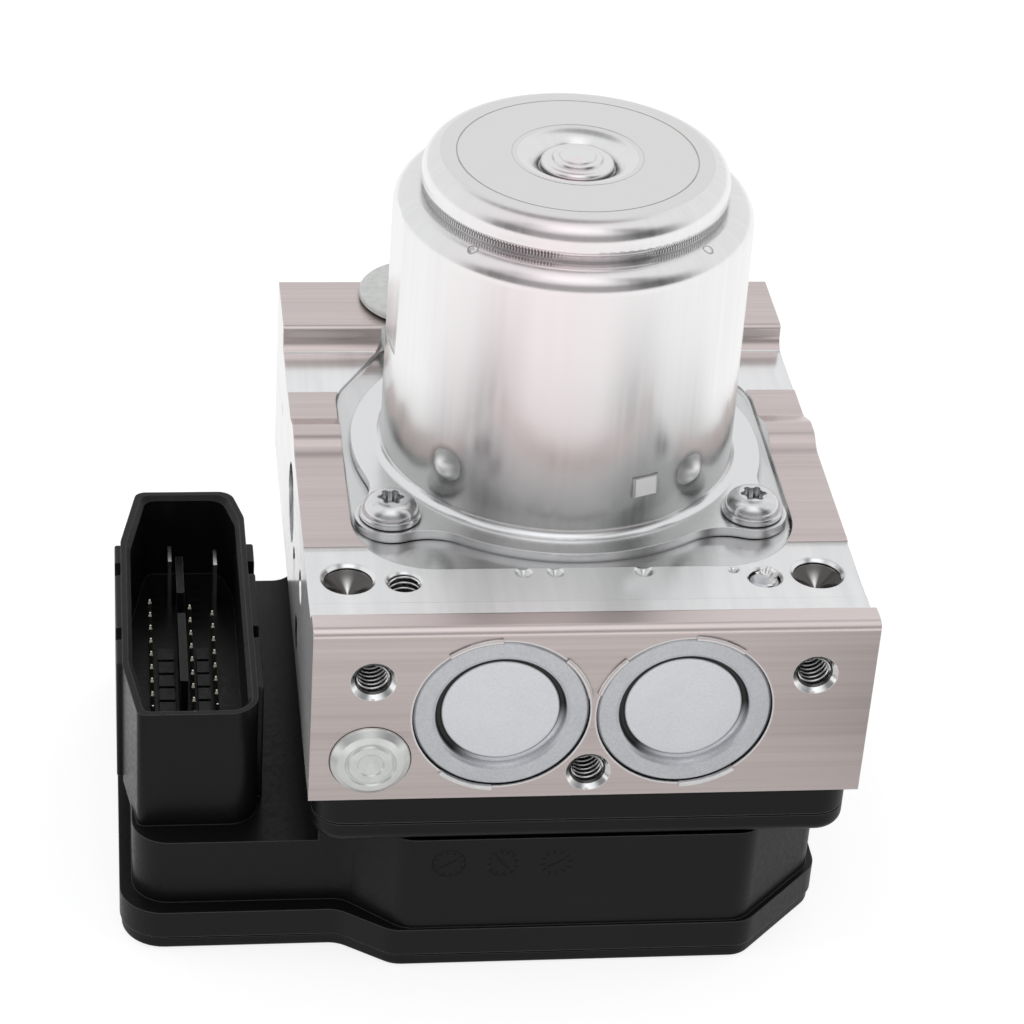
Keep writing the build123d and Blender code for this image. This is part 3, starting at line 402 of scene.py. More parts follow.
def make_streaks():
    """Drawn, rolled or milled lines: noise stretched by its own share along each axis."""
    group, start, end = new_group("streaks", {"Stretch": (1, 1, 1), "Detail": 4.0}, {"Value": 0.0})
    mapping = group.nodes.new("ShaderNodeMapping")
    noise = group.nodes.new("ShaderNodeTexNoise")
    noise.inputs["Scale"].default_value = 1.0
    group.links.new(object_place(group), mapping.inputs["Vector"])
    group.links.new(start.outputs["Stretch"], mapping.inputs["Scale"])
    group.links.new(mapping.outputs["Vector"], noise.inputs["Vector"])
    group.links.new(start.outputs["Detail"], noise.inputs["Detail"])
    group.links.new(noise.outputs["Fac"], end.inputs["Value"])
    return group


def make_soft_edges():
    """Rounded-off edges: a normal that turns over them and a mask that is 1 along them."""
    group, start, end = new_group("soft_edges", {"Radius": 0.0003}, {"Normal": (0, 0, 0), "Edge": 0.0})
    bevel = group.nodes.new("ShaderNodeBevel")
    bevel.samples = 4
    geometry = group.nodes.new("ShaderNodeNewGeometry")
    group.links.new(start.outputs["Radius"], bevel.inputs["Radius"])
    agreement = vector_node(group, "DOT_PRODUCT", bevel.outputs["Normal"], geometry.outputs["Normal"])
    mask = math_node(group, "MULTIPLY", without(group, agreement), 6.0, clamp=True)
    group.links.new(bevel.outputs["Normal"], end.inputs["Normal"])
    group.links.new(mask, end.inputs["Edge"])
    return group


def make_painted_crevice_shade():
    """Painted shade from ambient occlusion: 1 in the open and less where surfaces meet."""
    group, start, end = new_group("painted_crevice_shade", {"Reach": 0.001, "Depth": 0.7}, {"Openness": 0.0})
    occlusion = group.nodes.new("ShaderNodeAmbientOcclusion")
    occlusion.samples = 6
    group.links.new(start.outputs["Reach"], occlusion.inputs["Distance"])
    # Painted shade: the less open a point is, the darker its colour.
    closed = without(group, smooth_range(group, occlusion.outputs["AO"], 0.10, 0.85))
    dark = product(group, closed, start.outputs["Depth"])
    group.links.new(without(group, dark), end.inputs["Openness"])
    return group


def make_mould_clock():
    """A mould's date clock without figures: a ring, ticks inside it and a bar, seen from the front."""
    given = {"Centre": (0, 0, 0), "Ring": 1.0, "Bar": 0.7}
    group, start, end = new_group("mould_clock", given, {"Mask": 0.0})
    offset = vector_node(group, "SUBTRACT", object_place(group), start.outputs["Centre"])
    x, _, z = parts_of(group, offset)
    radius = distance(group, x, z)
    angle = math_node(group, "ARCTAN2", z, x)
    ring = product(group, line_at(group, radius, 2.6, 0.28), start.outputs["Ring"])
    ticks = smooth_range(group, math_node(group, "SINE", product(group, angle, 12.0)), 0.35, 0.7)
    ticks = product(group, ticks, band(group, radius, 1.75, 1.9, 2.45, 2.6))
    along = math_node(group, "SINE", math_node(group, "SUBTRACT", angle, start.outputs["Bar"]))
    across = math_node(group, "ABSOLUTE", product(group, along, radius))
    bar = product(group, fading(group, across, 0.14, 0.26), fading(group, radius, 1.45, 1.6))
    group.links.new(largest(group, ring, ticks, bar), end.inputs["Mask"])
    return group


def make_turned_place():
    """A place on a round piece about a point and axis: its radius and its height, in metres."""
    given = {"Centre": (0, 0, 0), "Axis": (0, 0, 1)}
    group, start, end = new_group("turned_place", given, {"Radius": 0.0, "Height": 0.0})
    offset = vector_node(group, "SUBTRACT", object_place(group), start.outputs["Centre"])
    along = vector_node(group, "DOT_PRODUCT", offset, start.outputs["Axis"])
    across = vector_node(group, "CROSS_PRODUCT", offset, start.outputs["Axis"])
    group.links.new(vector_node(group, "LENGTH", across), end.inputs["Radius"])
    group.links.new(along, end.inputs["Height"])
    return group


def make_line_mask():
    """A thin line: 1 where a value is within half a width of a level."""
    group, start, end = new_group("thin_line", {"Value": 0.0, "Level": 0.0, "Width": 0.0002}, {"Mask": 0.0})
    away = apart(group, start.outputs["Value"], start.outputs["Level"])
    share = math_node(group, "DIVIDE", away, start.outputs["Width"])
    mask = math_node(group, "SUBTRACT", 1.0, product(group, share, 2.0), clamp=True)
    group.links.new(math_node(group, "SMOOTH_MIN", mask, 1.0, 0.1), end.inputs["Mask"])
    return group


def shaded(tree, colour, reach, depth):
    """Darken a colour with painted shade where surfaces meet."""
    gap = place_group(tree, painted_crevice_shade, Reach=reach, Depth=depth)
    return mix_colour(tree, gap.outputs["Openness"], grey(0.0), colour)


def hole_mask(tree, centre, axis, radius, start_depth, end_depth=26.0):
    """1 on the walls of a bore: within a radius of its axis and between two depths from its mouth."""
    bore = place_group(tree, turned_place, Centre=centre, Axis=axis)
    depth = bore.outputs["Height"]
    inside = below(tree, bore.outputs["Radius"], radius)
    return product(tree, inside, above(tree, depth, start_depth), below(tree, depth, end_depth))


def from_bumps(tree):
    """How far a point on the can's wall is from the axis of the nearest pressed bump, in metres."""
    ways = []
    wall_radius = 28.0
    for turn in bump_turns:
        out = Vector((cos(radians(turn)), sin(radians(turn)), 0.0))
        centre = out * wall_radius * MM + point(0, 0, block_z + bump_height)
        bump = place_group(tree, turned_place, Centre=centre, Axis=out)
        on_this_side = above(tree, bump.outputs["Height"], -2.0)
        ways.append(total_of(tree, bump.outputs["Radius"], without(tree, on_this_side)))
    return fold(tree, "MINIMUM", ways)


def bumped(tree, shader, height, depth, normal=None):
    """Feed a height through a Bump node into the shader's normal."""
    bump = tree.nodes.new("ShaderNodeBump")
    bump.inputs["Distance"].default_value = depth
    bump.inputs["Strength"].default_value = 1.0
    tree.links.new(height, bump.inputs["Height"])
    if normal is not None:
        tree.links.new(normal, bump.inputs["Normal"])
    tree.links.new(bump.outputs["Normal"], shader.inputs["Normal"])


# Materials


def shade_bores(tree, colour, x, y):
    """Painted shade on the walls of the bores, and a painted glint at the back of each locating cone."""
    bores = []
    for x_hole, height in front_holes:
        mouth = point(x_hole, block_front, block_z + height)
        bores.append(hole_mask(tree, mouth, (0, 1, 0), 2.95, 0.7))
    for x_hole in (ledge_hole[0], -ledge_hole[0]):
        mouth = point(x_hole, ledge_hole[1], ledge_z)
        bores.append(hole_mask(tree, mouth, (0, 0, -1), 2.95, 0.5))
    glints = []
    for x_cone, y_cone in locating_cones:
        cone = hole_mask(tree, point(x_cone, y_cone, ledge_z), (0, 0, -1), 3.75, 0.35)
        bores.append(cone)
        back = math_node(tree, "SUBTRACT", y, y_cone * MM)
        spread = math_node(tree, "DIVIDE", apart(tree, x, x_cone * MM), largest(tree, back, 0.05 * MM))
        narrow = smooth_range(tree, spread, 0.0, 0.55, 1.0, 0.0)
        glints.append(product(tree, narrow, fading(tree, back, 0.4, 3.3, 1.0, 0.05), cone))
    # Painted shade on the bore walls.
    colour = mix_colour(tree, largest(tree, *bores), colour, (0.11, 0.105, 0.10))
    # Painted highlight: a pale glint at the back of each locating cone.
    return mix_colour(tree, largest(tree, *glints), colour, (0.97, 0.96, 0.95))


def make_block_aluminium():
    """Extruded skin, pinkish with lines along X; milled ledge, groove and pocket, silver; sawn ends.

    The rear face has the cutter's arcs, and the extruded bead over the front face is paler where it tilts
    upwards, a painted highlight.
    """
    material, tree, shader = new_material("block_aluminium", 1.0, 0.33)
    x, y, z = parts_of(tree, object_place(tree))
    geometry = tree.nodes.new("ShaderNodeNewGeometry")
    facing_x, _, facing_z = parts_of(tree, geometry.outputs["Normal"])
    sideways = math_node(tree, "ABSOLUTE", facing_x)
    in_front = below(tree, y, block_front + 0.25)
    skin = largest(tree, above(tree, z, extruded_z), in_front)
    skin = product(tree, skin, math_node(tree, "LESS_THAN", sideways, 0.06))
    outer = above(tree, math_node(tree, "ABSOLUTE", x), block_half - 0.1)
    ends = product(tree, outer, math_node(tree, "GREATER_THAN", sideways, 0.9))

    fine = streak(tree, (9, 1500, 1500), 5.0)
    broad = streak(tree, (2, 190, 190), 2.0)
    lines = total_of(tree, product(tree, fine, 0.6), product(tree, broad, 0.4))
    low, middle, high = (0.625, 0.545, 0.53), (0.685, 0.60, 0.585), (0.73, 0.65, 0.635)
    skin_colour = ramp(tree, lines, (0.34, low), (0.50, middle), (0.66, high))
    milling = streak(tree, (500, 40, 500))
    milled_colour = ramp(tree, milling, (0.3, (0.86, 0.865, 0.87)), (0.7, grey(0.95)))
    colour = mix_colour(tree, skin, milled_colour, skin_colour)

    # Painted highlight: the bead's faces that tilt upwards are lightened.
    on_bead = product(tree, above(tree, z, ledge_z - 2.2), below(tree, y, block_front + 6.0))
    tilted_up = math_node(tree, "GREATER_THAN", facing_z, 0.12)
    colour = mix_colour(tree, product(tree, on_bead, tilted_up, skin, 0.45), colour, (0.90, 0.80, 0.785))

    arc_pitch = 1.3
    from_cutter = from_axis(tree, point(-30, 0, -25), (0, 1, 0))
    arcs = math_node(tree, "SINE", product(tree, from_cutter, 2 * pi / (arc_pitch * MM)))
    arcs = smooth_range(tree, arcs, -1.0, 1.0)
    arc_colour = ramp(tree, arcs, (0.0, (0.715, 0.715, 0.72)), (1.0, (0.775, 0.775, 0.78)))
    colour = mix_colour(tree, above(tree, y, block_back - 0.1), colour, arc_colour)
    saw = streak(tree, (30, 60, 900), 4.0)
    end_colour = ramp(tree, saw, (0.3, (0.76, 0.755, 0.76)), (0.7, (0.90, 0.89, 0.90)))
    colour = mix_colour(tree, ends, colour, end_colour)

    seat_radius = 13.72
    for x_cover, height in cover_places:
        radius = from_axis(tree, point(x_cover, 0, block_z + height), (0, 1, 0))
        # Painted highlight: a thin pale line round each cover's seat on the front face.
        lip = product(tree, line_at(tree, radius, seat_radius, 0.42), in_front)
        colour = mix_colour(tree, lip, colour, (0.98, 0.97, 0.97))
    colour = shade_bores(tree, colour, x, y)
    pocket_reach = 47.0
    low_floor = below(tree, z, ledge_z - 0.3)
    near_motor = below(tree, from_axis(tree, (0, 0, 0), (0, 0, 1)), pocket_reach)
    pocket = product(tree, low_floor, near_motor, without(tree, outer), 0.30)
    colour = mix_colour(tree, pocket, colour, grey(0.30))
    edges = place_group(tree, soft_edges, Radius=0.00022)
    # Painted highlight: edges lightened along the soft-edge mask.
    painted_edge_highlight = product(tree, edges.outputs["Edge"], 0.6)
    colour = mix_colour(tree, painted_edge_highlight, colour, (0.95, 0.94, 0.93))
    tree.links.new(shaded(tree, colour, 0.0012, 0.75), shader.inputs["Base Color"])

    on_ledge = product(tree, below(tree, y, -20.0), above(tree, z, ledge_z - 0.2), without(tree, skin))
    matte = largest(tree, product(tree, ends, 0.45), product(tree, on_ledge, 0.50))
    tree.links.new(without(tree, matte), shader.inputs["Metallic"])
    rough = total_of(tree, product(tree, skin, 0.12), product(tree, lines, 0.14), 0.12)
    tree.links.new(rough, shader.inputs["Roughness"])
    bumped(tree, shader, fine, 0.000006, edges.outputs["Normal"])
    return material


def upright_lines(tree, bearing, z):
    """Noise drawn out along the can's height."""
    place = tree.nodes.new("ShaderNodeCombineXYZ")
    tree.links.new(product(tree, bearing, 26.0), place.inputs["X"])
    tree.links.new(product(tree, z, 14.0), place.inputs["Y"])
    noise = tree.nodes.new("ShaderNodeTexNoise")
    noise.inputs["Scale"].default_value = 1.0
    noise.inputs["Detail"].default_value = 4.0
    tree.links.new(place.outputs["Vector"], noise.inputs["Vector"])
    return noise.outputs["Fac"]


def can_tint(tree, drawn, bearing, z, top):
    """The can's colour: a painted pinkish reflection on one side, a darker top, painted shade on the foot
    and round the bumps, and an even flange.
    """
    tint = ramp(tree, drawn, (0.32, (0.86, 0.86, 0.865)), (0.5, (0.885, 0.88, 0.88)), (0.68, grey(0.90)))
    # Painted reflection: a pinkish cast on one side of the can.
    from_pink_reflection = apart(tree, bearing, radians(pink_reflection_bearing))
    pink_reflection = smooth_range(tree, from_pink_reflection, 0.0, radians(46.0), 0.75, 0.0)
    tint = mix_colour(tree, pink_reflection, tint, (0.92, 0.825, 0.84))
    tint = mix_colour(tree, top, tint, (0.815, 0.815, 0.80))
    # Painted shade: the can darkens towards its foot.
    foot = fading(tree, z, block_z + 32.0, block_z + 52.0, 0.78)
    tint = mix_colour(tree, foot, tint, (0.43, 0.445, 0.43))
    # Painted shade: a dark ring round each bump.
    painted_bump_shade = fading(tree, from_bumps(tree), 2.6, 4.0, 0.55)
    tint = mix_colour(tree, painted_bump_shade, tint, grey(0.20))
    flange = below(tree, z, block_z + 31.3)
    return mix_colour(tree, flange, tint, (0.86, 0.86, 0.865))


def make_can_steel():
    """Drawn steel with a satin plating: faint upright lines, engraved rings in the cap, a crimped neck.

    There are two small dents in the shoulder in front, ringed with painted shade, and a painted highlight
    on a small tab between the bumps.
    """
    material, tree, shader = new_material("can_steel", 1.0, 0.26)
    x, y, z = parts_of(tree, object_place(tree))
    bearing = math_node(tree, "ARCTAN2", y, x)
    top = above(tree, z, cap_z - 0.05)
    drawn = upright_lines(tree, bearing, z)
    colour = can_tint(tree, drawn, bearing, z, top)

    radius = from_axis(tree, (0, 0, 0), (0, 0, 1))
    clear_ring = line_at(tree, radius, 18.86, 0.32)
    faint_ring = line_at(tree, radius, 10.3, 0.26)
    rings = total_of(tree, clear_ring, product(tree, faint_ring, 0.4))
    rings = math_node(tree, "MULTIPLY", rings, top, clamp=True)
    colour = mix_colour(tree, product(tree, rings, 0.8), colour, (0.22, 0.21, 0.20))

    neck = band(tree, z, shoulder_z + 0.1, shoulder_z + 0.5, shoulder_z + 1.3, shoulder_z + 1.9)
    tooth_count = 298.0
    teeth = math_node(tree, "SINE", product(tree, bearing, tooth_count))
    teeth = smooth_range(tree, teeth, -0.6, 0.8)
    from_plain = apart(tree, bearing, radians(plain_neck_bearing))
    hatched = smooth_range(tree, from_plain, radians(14.0), radians(22.0))
    crimp = product(tree, neck, product(tree, hatched, teeth))
    colour = mix_colour(tree, product(tree, crimp, 0.75), colour, grey(0.10))

    dents = [from_axis(tree, point(x_dent, -19.0, 0), (0, 0, 1)) for x_dent in (-18.0, 18.0)]
    from_dent = fold(tree, "MINIMUM", dents)
    near_top = above(tree, z, shoulder_z - 4.0)
    # Painted shade: a dark ring round the rim of each dent.
    painted_dent_shade = product(tree, line_at(tree, from_dent, 0.75, 0.4), near_top)
    colour = mix_colour(tree, product(tree, painted_dent_shade, 0.7), colour, grey(0.10))
    dent_depth = product(tree, fading(tree, from_dent, 0.3, 0.8), near_top)

    # Painted highlight: the tab is painted near white.
    from_tab = apart(tree, bearing, radians(tab_bearing))
    beside_tab = apart(tree, z, (block_z + bump_height) * MM)
    tab = product(tree, math_node(tree, "LESS_THAN", from_tab, radians(3.6)), below(tree, beside_tab, 1.5))
    colour = mix_colour(tree, product(tree, tab, 0.95), colour, grey(1.0))
    tree.links.new(shaded(tree, colour, 0.0012, 0.85), shader.inputs["Base Color"])
    rough = total_of(tree, smooth_range(tree, drawn, 0.3, 0.7, 0.19, 0.24), product(tree, tab, 0.42))
    tree.links.new(rough, shader.inputs["Roughness"])
    edges = place_group(tree, soft_edges, Radius=0.00022)
    sunk = largest(tree, rings, crimp, dent_depth)
    bumped(tree, shader, without(tree, sunk), 0.00010, edges.outputs["Normal"])
    return material


def make_bright_steel(name, base, rough, shade_depth=0.85):
    """Bright metal for screws, springs and small trim, with faint wear and dust in its colour, and painted
    shade where surfaces meet.
    """
    material, tree, shader = new_material(name, 1.0, rough)
    grain = streak(tree, (700, 700, 700))
    colour = ramp(tree, grain, (0.35, dimmed(base, 0.90)), (0.65, base))
    # Painted shade where surfaces meet, as deep as the given depth.
    tree.links.new(shaded(tree, colour, 0.0009, shade_depth), shader.inputs["Base Color"])
    varied = smooth_range(tree, grain, 0.3, 0.7, rough - 0.04, rough + 0.05)
    tree.links.new(varied, shader.inputs["Roughness"])
    edges = place_group(tree, soft_edges, Radius=0.00015)
    tree.links.new(edges.outputs["Normal"], shader.inputs["Normal"])
    return material


def make_bump_steel():
    """The can's steel on a pressed bump: a painted highlight on the crown, and painted shade round its
    foot.
    """
    material, tree, shader = new_material("bump_steel", 1.0, 0.42)
    grain = streak(tree, (700, 700, 700))
    crown = ramp(tree, grain, (0.35, grey(0.90)), (0.65, grey(0.97)))
    # Painted shade round the bump's foot; the brighter crown is a painted highlight.
    foot = fading(tree, from_bumps(tree), 0.9, 2.3, 0.0, 0.85)
    colour = mix_colour(tree, foot, crown, (0.33, 0.335, 0.33))
    tree.links.new(shaded(tree, colour, 0.0009, 0.5), shader.inputs["Base Color"])
    tree.links.new(smooth_range(tree, grain, 0.3, 0.7, 0.40, 0.48), shader.inputs["Roughness"])
    return material


def make_cover_zinc(name, cover):
    """Blue-grey zinc on a pressed cover: speckled centre, turned rim, and between them a dark crease with
    painted shade over the ring except on its lower side.
    """
    material, tree, shader = new_material(name, 1.0, 0.42)
    centre = point(cover[0], block_front, block_z + cover[1])
    radius = from_axis(tree, centre, (0, 1, 0))
    speckle = streak(tree, (2600, 2600, 2600), 4.0)
    cloud = streak(tree, (160, 160, 160))
    grain = total_of(tree, product(tree, speckle, 0.65), product(tree, cloud, 0.35))
    middle = ramp(tree, grain, (0.30, (0.84, 0.85, 0.885)), (0.70, (0.95, 0.96, 0.99)))
    rim = ramp(tree, grain, (0.3, (0.62, 0.63, 0.66)), (0.7, (0.77, 0.78, 0.81)))
    colour = mix_colour(tree, rising(tree, radius, 9.7, 9.9), middle, rim)

    # Painted shade: the ring between centre and rim is dark except on its lower side; the thin crease all
    # round is the cover's own dark line.
    slant = (-0.42, 0.0, 0.91)
    place = vector_node(tree, "DOT_PRODUCT", object_place(tree), slant)
    upward = math_node(tree, "SUBTRACT", place, centre.dot(slant))
    joint_and_upper_shade = product(tree, band(tree, radius, 8.95, 9.1, 9.95, 10.2), rising(tree, upward, -8.5, -3.0))
    crease = product(tree, line_at(tree, radius, 9.12, 0.42), 0.85)
    joint_and_upper_shade = largest(tree, joint_and_upper_shade, crease)
    colour = mix_colour(tree, joint_and_upper_shade, colour, (0.012, 0.012, 0.013))
    tree.links.new(colour, shader.inputs["Base Color"])
    tree.links.new(without(tree, joint_and_upper_shade), shader.inputs["Metallic"])
    rings = math_node(tree, "SINE", product(tree, radius, 14000.0))
    relief = total_of(tree, product(tree, rings, 0.25), speckle)
    edges = place_group(tree, soft_edges, Radius=0.00025)
    bumped(tree, shader, relief, 0.000012, edges.outputs["Normal"])
    return material


def make_cap_aluminium(name, base):
    """Turned light metal with fine concentric lines about the damper's axis."""
    material, tree, shader = new_material(name, 1.0, 0.34)
    centre = point(damper_place[0], block_front, block_z + damper_place[1])
    radius = from_axis(tree, centre, (0, 1, 0))
    rings = math_node(tree, "SINE", product(tree, radius, 26000.0))
    grain = streak(tree, (500, 500, 500))
    colour = ramp(tree, grain, (0.3, dimmed(base, 0.88)), (0.7, base))
    tree.links.new(shaded(tree, colour, 0.0008, 0.35), shader.inputs["Base Color"])
    edges = place_group(tree, soft_edges, Radius=0.0002)
    bumped(tree, shader, rings, 0.000004, edges.outputs["Normal"])
    return material


def clock_mask(tree, y):
    """1 on the lines of the mould clocks on the housing's front wall."""
    masks = []
    for x_clock, z_clock, ring, bar in mould_clocks:
        clock = place_group(tree, mould_clock, Centre=point(x_clock, 0, z_clock), Ring=ring, Bar=bar)
        masks.append(clock.outputs["Mask"])
    return product(tree, largest(tree, *masks), below(tree, y, -55.0))


def socket_slots(tree, x, y, z):
    """1 in the slots between the contacts, on the socket's floor."""
    slot_pitch = 2.3
    columns = [below(tree, apart(tree, x, x_column * MM), 0.8) for x_column in socket_columns]
    slots = math_node(tree, "SINE", product(tree, y, 2 * pi / (slot_pitch * MM)))
    slots = product(tree, smooth_range(tree, slots, 0.1, 0.5), largest(tree, *columns))
    inside = product(tree, above(tree, y, 2.6), below(tree, y, 15.0))
    return product(tree, slots, inside, below(tree, z, 26.5))


def make_black_plastic(name, base, rough):
    """Satin black plastic: faint grain, edges lightened grey as a painted highlight, mould clocks in front,
    slots in the socket's floor.
    """
    material, tree, shader = new_material(name, 0.0, rough, 0.22)
    grain = streak(tree, (1300, 1300, 1300))
    cloud = streak(tree, (60, 60, 60), 2.0)
    colour = ramp(tree, cloud, (0.3, dimmed(base, 0.8)), (0.7, base))
    edges = place_group(tree, soft_edges, Radius=0.00024)
    # Painted highlight: edges lightened to grey.
    painted_edge_sheen = product(tree, edges.outputs["Edge"], 0.75)
    colour = mix_colour(tree, painted_edge_sheen, colour, (0.15, 0.15, 0.155))
    x, y, z = parts_of(tree, object_place(tree))
    clocks = clock_mask(tree, y)
    colour = mix_colour(tree, product(tree, clocks, 0.8), colour, grey(0.001))
    colour = mix_colour(tree, socket_slots(tree, x, y, z), colour, grey(0.001))
    tree.links.new(shaded(tree, colour, 0.0012, 0.9), shader.inputs["Base Color"])
    varied = smooth_range(tree, grain, 0.3, 0.7, rough - 0.05, rough + 0.06)
    tree.links.new(varied, shader.inputs["Roughness"])
    relief = math_node(tree, "SUBTRACT", product(tree, grain, 0.06), clocks)
    bumped(tree, shader, relief, 0.00025, edges.outputs["Normal"])
    return material


def make_plain_plastic(name, base, rough):
    """Matte plastic, rubber or ferrite with a slight grain."""
    material, tree, shader = new_material(name, 0.0, rough, 0.4)
    grain = streak(tree, (800, 800, 800))
    colour = ramp(tree, grain, (0.3, dimmed(base, 0.85)), (0.7, base))
    tree.links.new(colour, shader.inputs["Base Color"])
    bumped(tree, shader, grain, 0.00002)
    return material


def make_contact_metal(name, base):
    """Pale tin on the contacts, with painted shade low down and brighter towards the tips."""
    material, tree, shader = new_material(name, 1.0, 0.22)
    z = parts_of(tree, object_place(tree))[2]
    # Painted shade: darker low down in the socket, brighter towards the tips.
    dark = dimmed(base, 0.55)
    colour = mix_colour(tree, rising(tree, z, block_z - 8.5, block_z - 2.0), dark, base)
    grain = streak(tree, (900, 900, 300))
    colour = mix_colour(tree, product(tree, grain, 0.3), colour, dark)
    tree.links.new(colour, shader.inputs["Base Color"])
    return material


def dress(node, material):
    """Give a CAD node's object its material."""
    slots = nodes[node].material_slots
    if len(slots) == 0:
        nodes[node].data.materials.append(material)
    for slot in slots:
        slot.material = material


# New pieces


def deselect():
    """Nothing selected, in object mode."""
    if bpy.context.object and bpy.context.object.mode != "OBJECT":
        bpy.ops.object.mode_set(mode="OBJECT")
    bpy.ops.object.select_all(action="DESELECT")


def edit_all():
    """Edit mode with the whole mesh selected."""
    bpy.ops.object.mode_set(mode="EDIT")
    bpy.ops.mesh.select_all(action="SELECT")


def end_edit():
    """Normals turned outwards, then object mode."""
    bpy.ops.mesh.select_all(action="SELECT")
    bpy.ops.mesh.normals_make_consistent(inside=False)
    bpy.ops.object.mode_set(mode="OBJECT")


def stand_up(move):
    """Turn what is selected from the XY plane into XZ and move it."""
    bpy.ops.transform.rotate(value=radians(90), orient_axis="X", center_override=(0, 0, 0))
    bpy.ops.transform.translate(value=move)


def settle(piece, name, material):
    """Put a piece's place in its mesh, name it, and let it ride on the module."""
    deselect()
    piece.select_set(True)
    bpy.context.view_layer.objects.active = piece
    for modifier in list(piece.modifiers):
        bpy.ops.object.modifier_apply(modifier=modifier.name)
    bpy.ops.object.transform_apply(location=True, rotation=True, scale=True)
    piece.name = name
    piece.data.name = name
    piece.data.materials.clear()
    piece.data.materials.append(material)
    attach(piece, MODULE)
    return piece


def join(pieces, name):
    """Join finished pieces into one."""
    deselect()
    for piece in pieces:
        piece.select_set(True)
    bpy.context.view_layer.objects.active = pieces[0]
    bpy.ops.object.join()
    pieces[0].name = name
    pieces[0].data.name = name


def can_bump(material):
    """A pressed bump in the can's wall: rings raised and drawn in, with a flared foot, about Z."""
    radius, height = 2.95, -0.20
    rings = ((2.7, -0.02), (2.5, 0.12), (2.3, 0.30), (2.1, 0.47), (1.9, 0.62))
    crown = ((1.6, 0.83), (1.2, 1.06), (0.7, 1.26), (0.3, 1.33), (0.1, 1.34))
    deselect()
    bpy.ops.mesh.primitive_circle_add(vertices=40, radius=radius * MM, fill_type="NGON", location=(0, 0, 0))
    bump = bpy.context.object
    edit_all()
    bpy.ops.transform.translate(value=(0, 0, height * MM))
    for next_radius, next_height in rings + crown:
        rise = (0, 0, (next_height - height) * MM)
        bpy.ops.mesh.extrude_region_move(TRANSFORM_OT_translate={"value": rise})
        share = next_radius / radius
        bpy.ops.transform.resize(value=(share, share, 1))
        radius, height = next_radius, next_height
    end_edit()
    bpy.ops.object.shade_smooth()
    bump.data.materials.append(material)
    return bump


def can_bumps(material):
    """Four bumps round the foot of the can."""
    first = can_bump(material)
    bumps = []
    reach = 28.69
    for turn in bump_turns:
        deselect()
        first.select_set(True)
        bpy.context.view_layer.objects.active = first
        bpy.ops.object.duplicate(linked=False)
        copy = bpy.context.object
        copy.rotation_euler = (0, radians(90), radians(turn))
        x, y = reach * cos(radians(turn)), reach * sin(radians(turn))
        copy.location = point(x, y, block_z + bump_height)
        bumps.append(settle(copy, "can_bump", material))
    bpy.data.objects.remove(first)
    join(bumps, "can_bumps")


def wound(sides, radius, reach, rise, pitch, turns, steps):
    """A ring of a few sides wound into a helix about Z, with closed ends; lengths in metres."""
    deselect()
    bpy.ops.mesh.primitive_circle_add(vertices=sides, radius=radius, fill_type="NOTHING")
    coil = bpy.context.object
    edit_all()
    stand_up((reach, 0, rise))
    bpy.ops.object.mode_set(mode="OBJECT")
    wind = coil.modifiers.new("wind", "SCREW")
    wind.axis = "Z"
    wind.angle = 2 * pi
    wind.screw_offset = pitch
    wind.iterations = turns
    wind.steps = steps
    wind.render_steps = steps
    bpy.ops.object.modifier_apply(modifier=wind.name)
    edit_all()
    bpy.ops.mesh.fill_holes(sides=sides)
    end_edit()
    return coil


def thread_turns(name, place, axis_turn, turns, material):
    """Thread crests in a bore: a three-sided section wound into a helix."""
    crest = wound(3, 0.36 * MM, thread_radius * MM, -0.55 * MM, -1.0 * MM, turns, 40)
    crest.rotation_euler = axis_turn
    crest.location = place
    settle(crest, name, material)


def return_spring(kind, side, wire, turns, axis):
    """A coil of round wire for the solid's square one."""
    node = f"{kind}_spring_{side}"
    low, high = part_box(node)
    middle = (low + high) / 2
    along_y = axis == 1
    length = (high - low)[axis]
    half_wire = wire * MM / 2
    coil = (high - low)[2] / 2 - half_wire
    spring = wound(8, half_wire, coil, half_wire, (length - wire * MM) / turns, turns, 28)
    if along_y:
        spring.rotation_euler = (radians(90), 0, 0)
        spring.location = (middle.x, high.y, middle.z)
    else:
        spring.rotation_euler = (0, radians(90), 0)
        spring.location = (low.x, middle.y, middle.z)
    settle(spring, f"{kind}_coil_{side}", ground_steel)
    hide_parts(node)
    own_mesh(spring)


def ledge_chip(material):
    """The torn skirt of the plug staked into the ledge's right hole: a thin disc with one side bent up."""
    deselect()
    bpy.ops.mesh.primitive_circle_add(vertices=14, radius=2.15 * MM, fill_type="TRIFAN", location=(0, 0, 0))
    chip = bpy.context.object
    edit_all()
    bpy.ops.mesh.subdivide(number_cuts=2)
    bpy.ops.mesh.extrude_region_move(TRANSFORM_OT_translate={"value": (0, 0, 0.22 * MM)})
    bpy.ops.mesh.select_all(action="SELECT")
    bpy.ops.mesh.bisect(plane_co=(-0.5 * MM, 0, 0), plane_no=(1, 0.35, 0), clear_inner=True, use_fill=True)
    for limit, rise in ((0.2, 0.25), (0.8, 0.35), (1.3, 0.45)):
        bpy.ops.mesh.select_all(action="DESELECT")
        bpy.ops.object.mode_set(mode="OBJECT")
        for vertex in chip.data.vertices:
            vertex.select = vertex.co.x + 0.4 * vertex.co.y > limit * MM
        bpy.ops.object.mode_set(mode="EDIT")
        bpy.ops.transform.translate(value=(-0.08 * MM, 0, rise * MM))
    end_edit()
    chip.location = point(-ledge_hole[0], ledge_hole[1], ledge_z - 0.55)
    settle(chip, "ledge_chip", material)


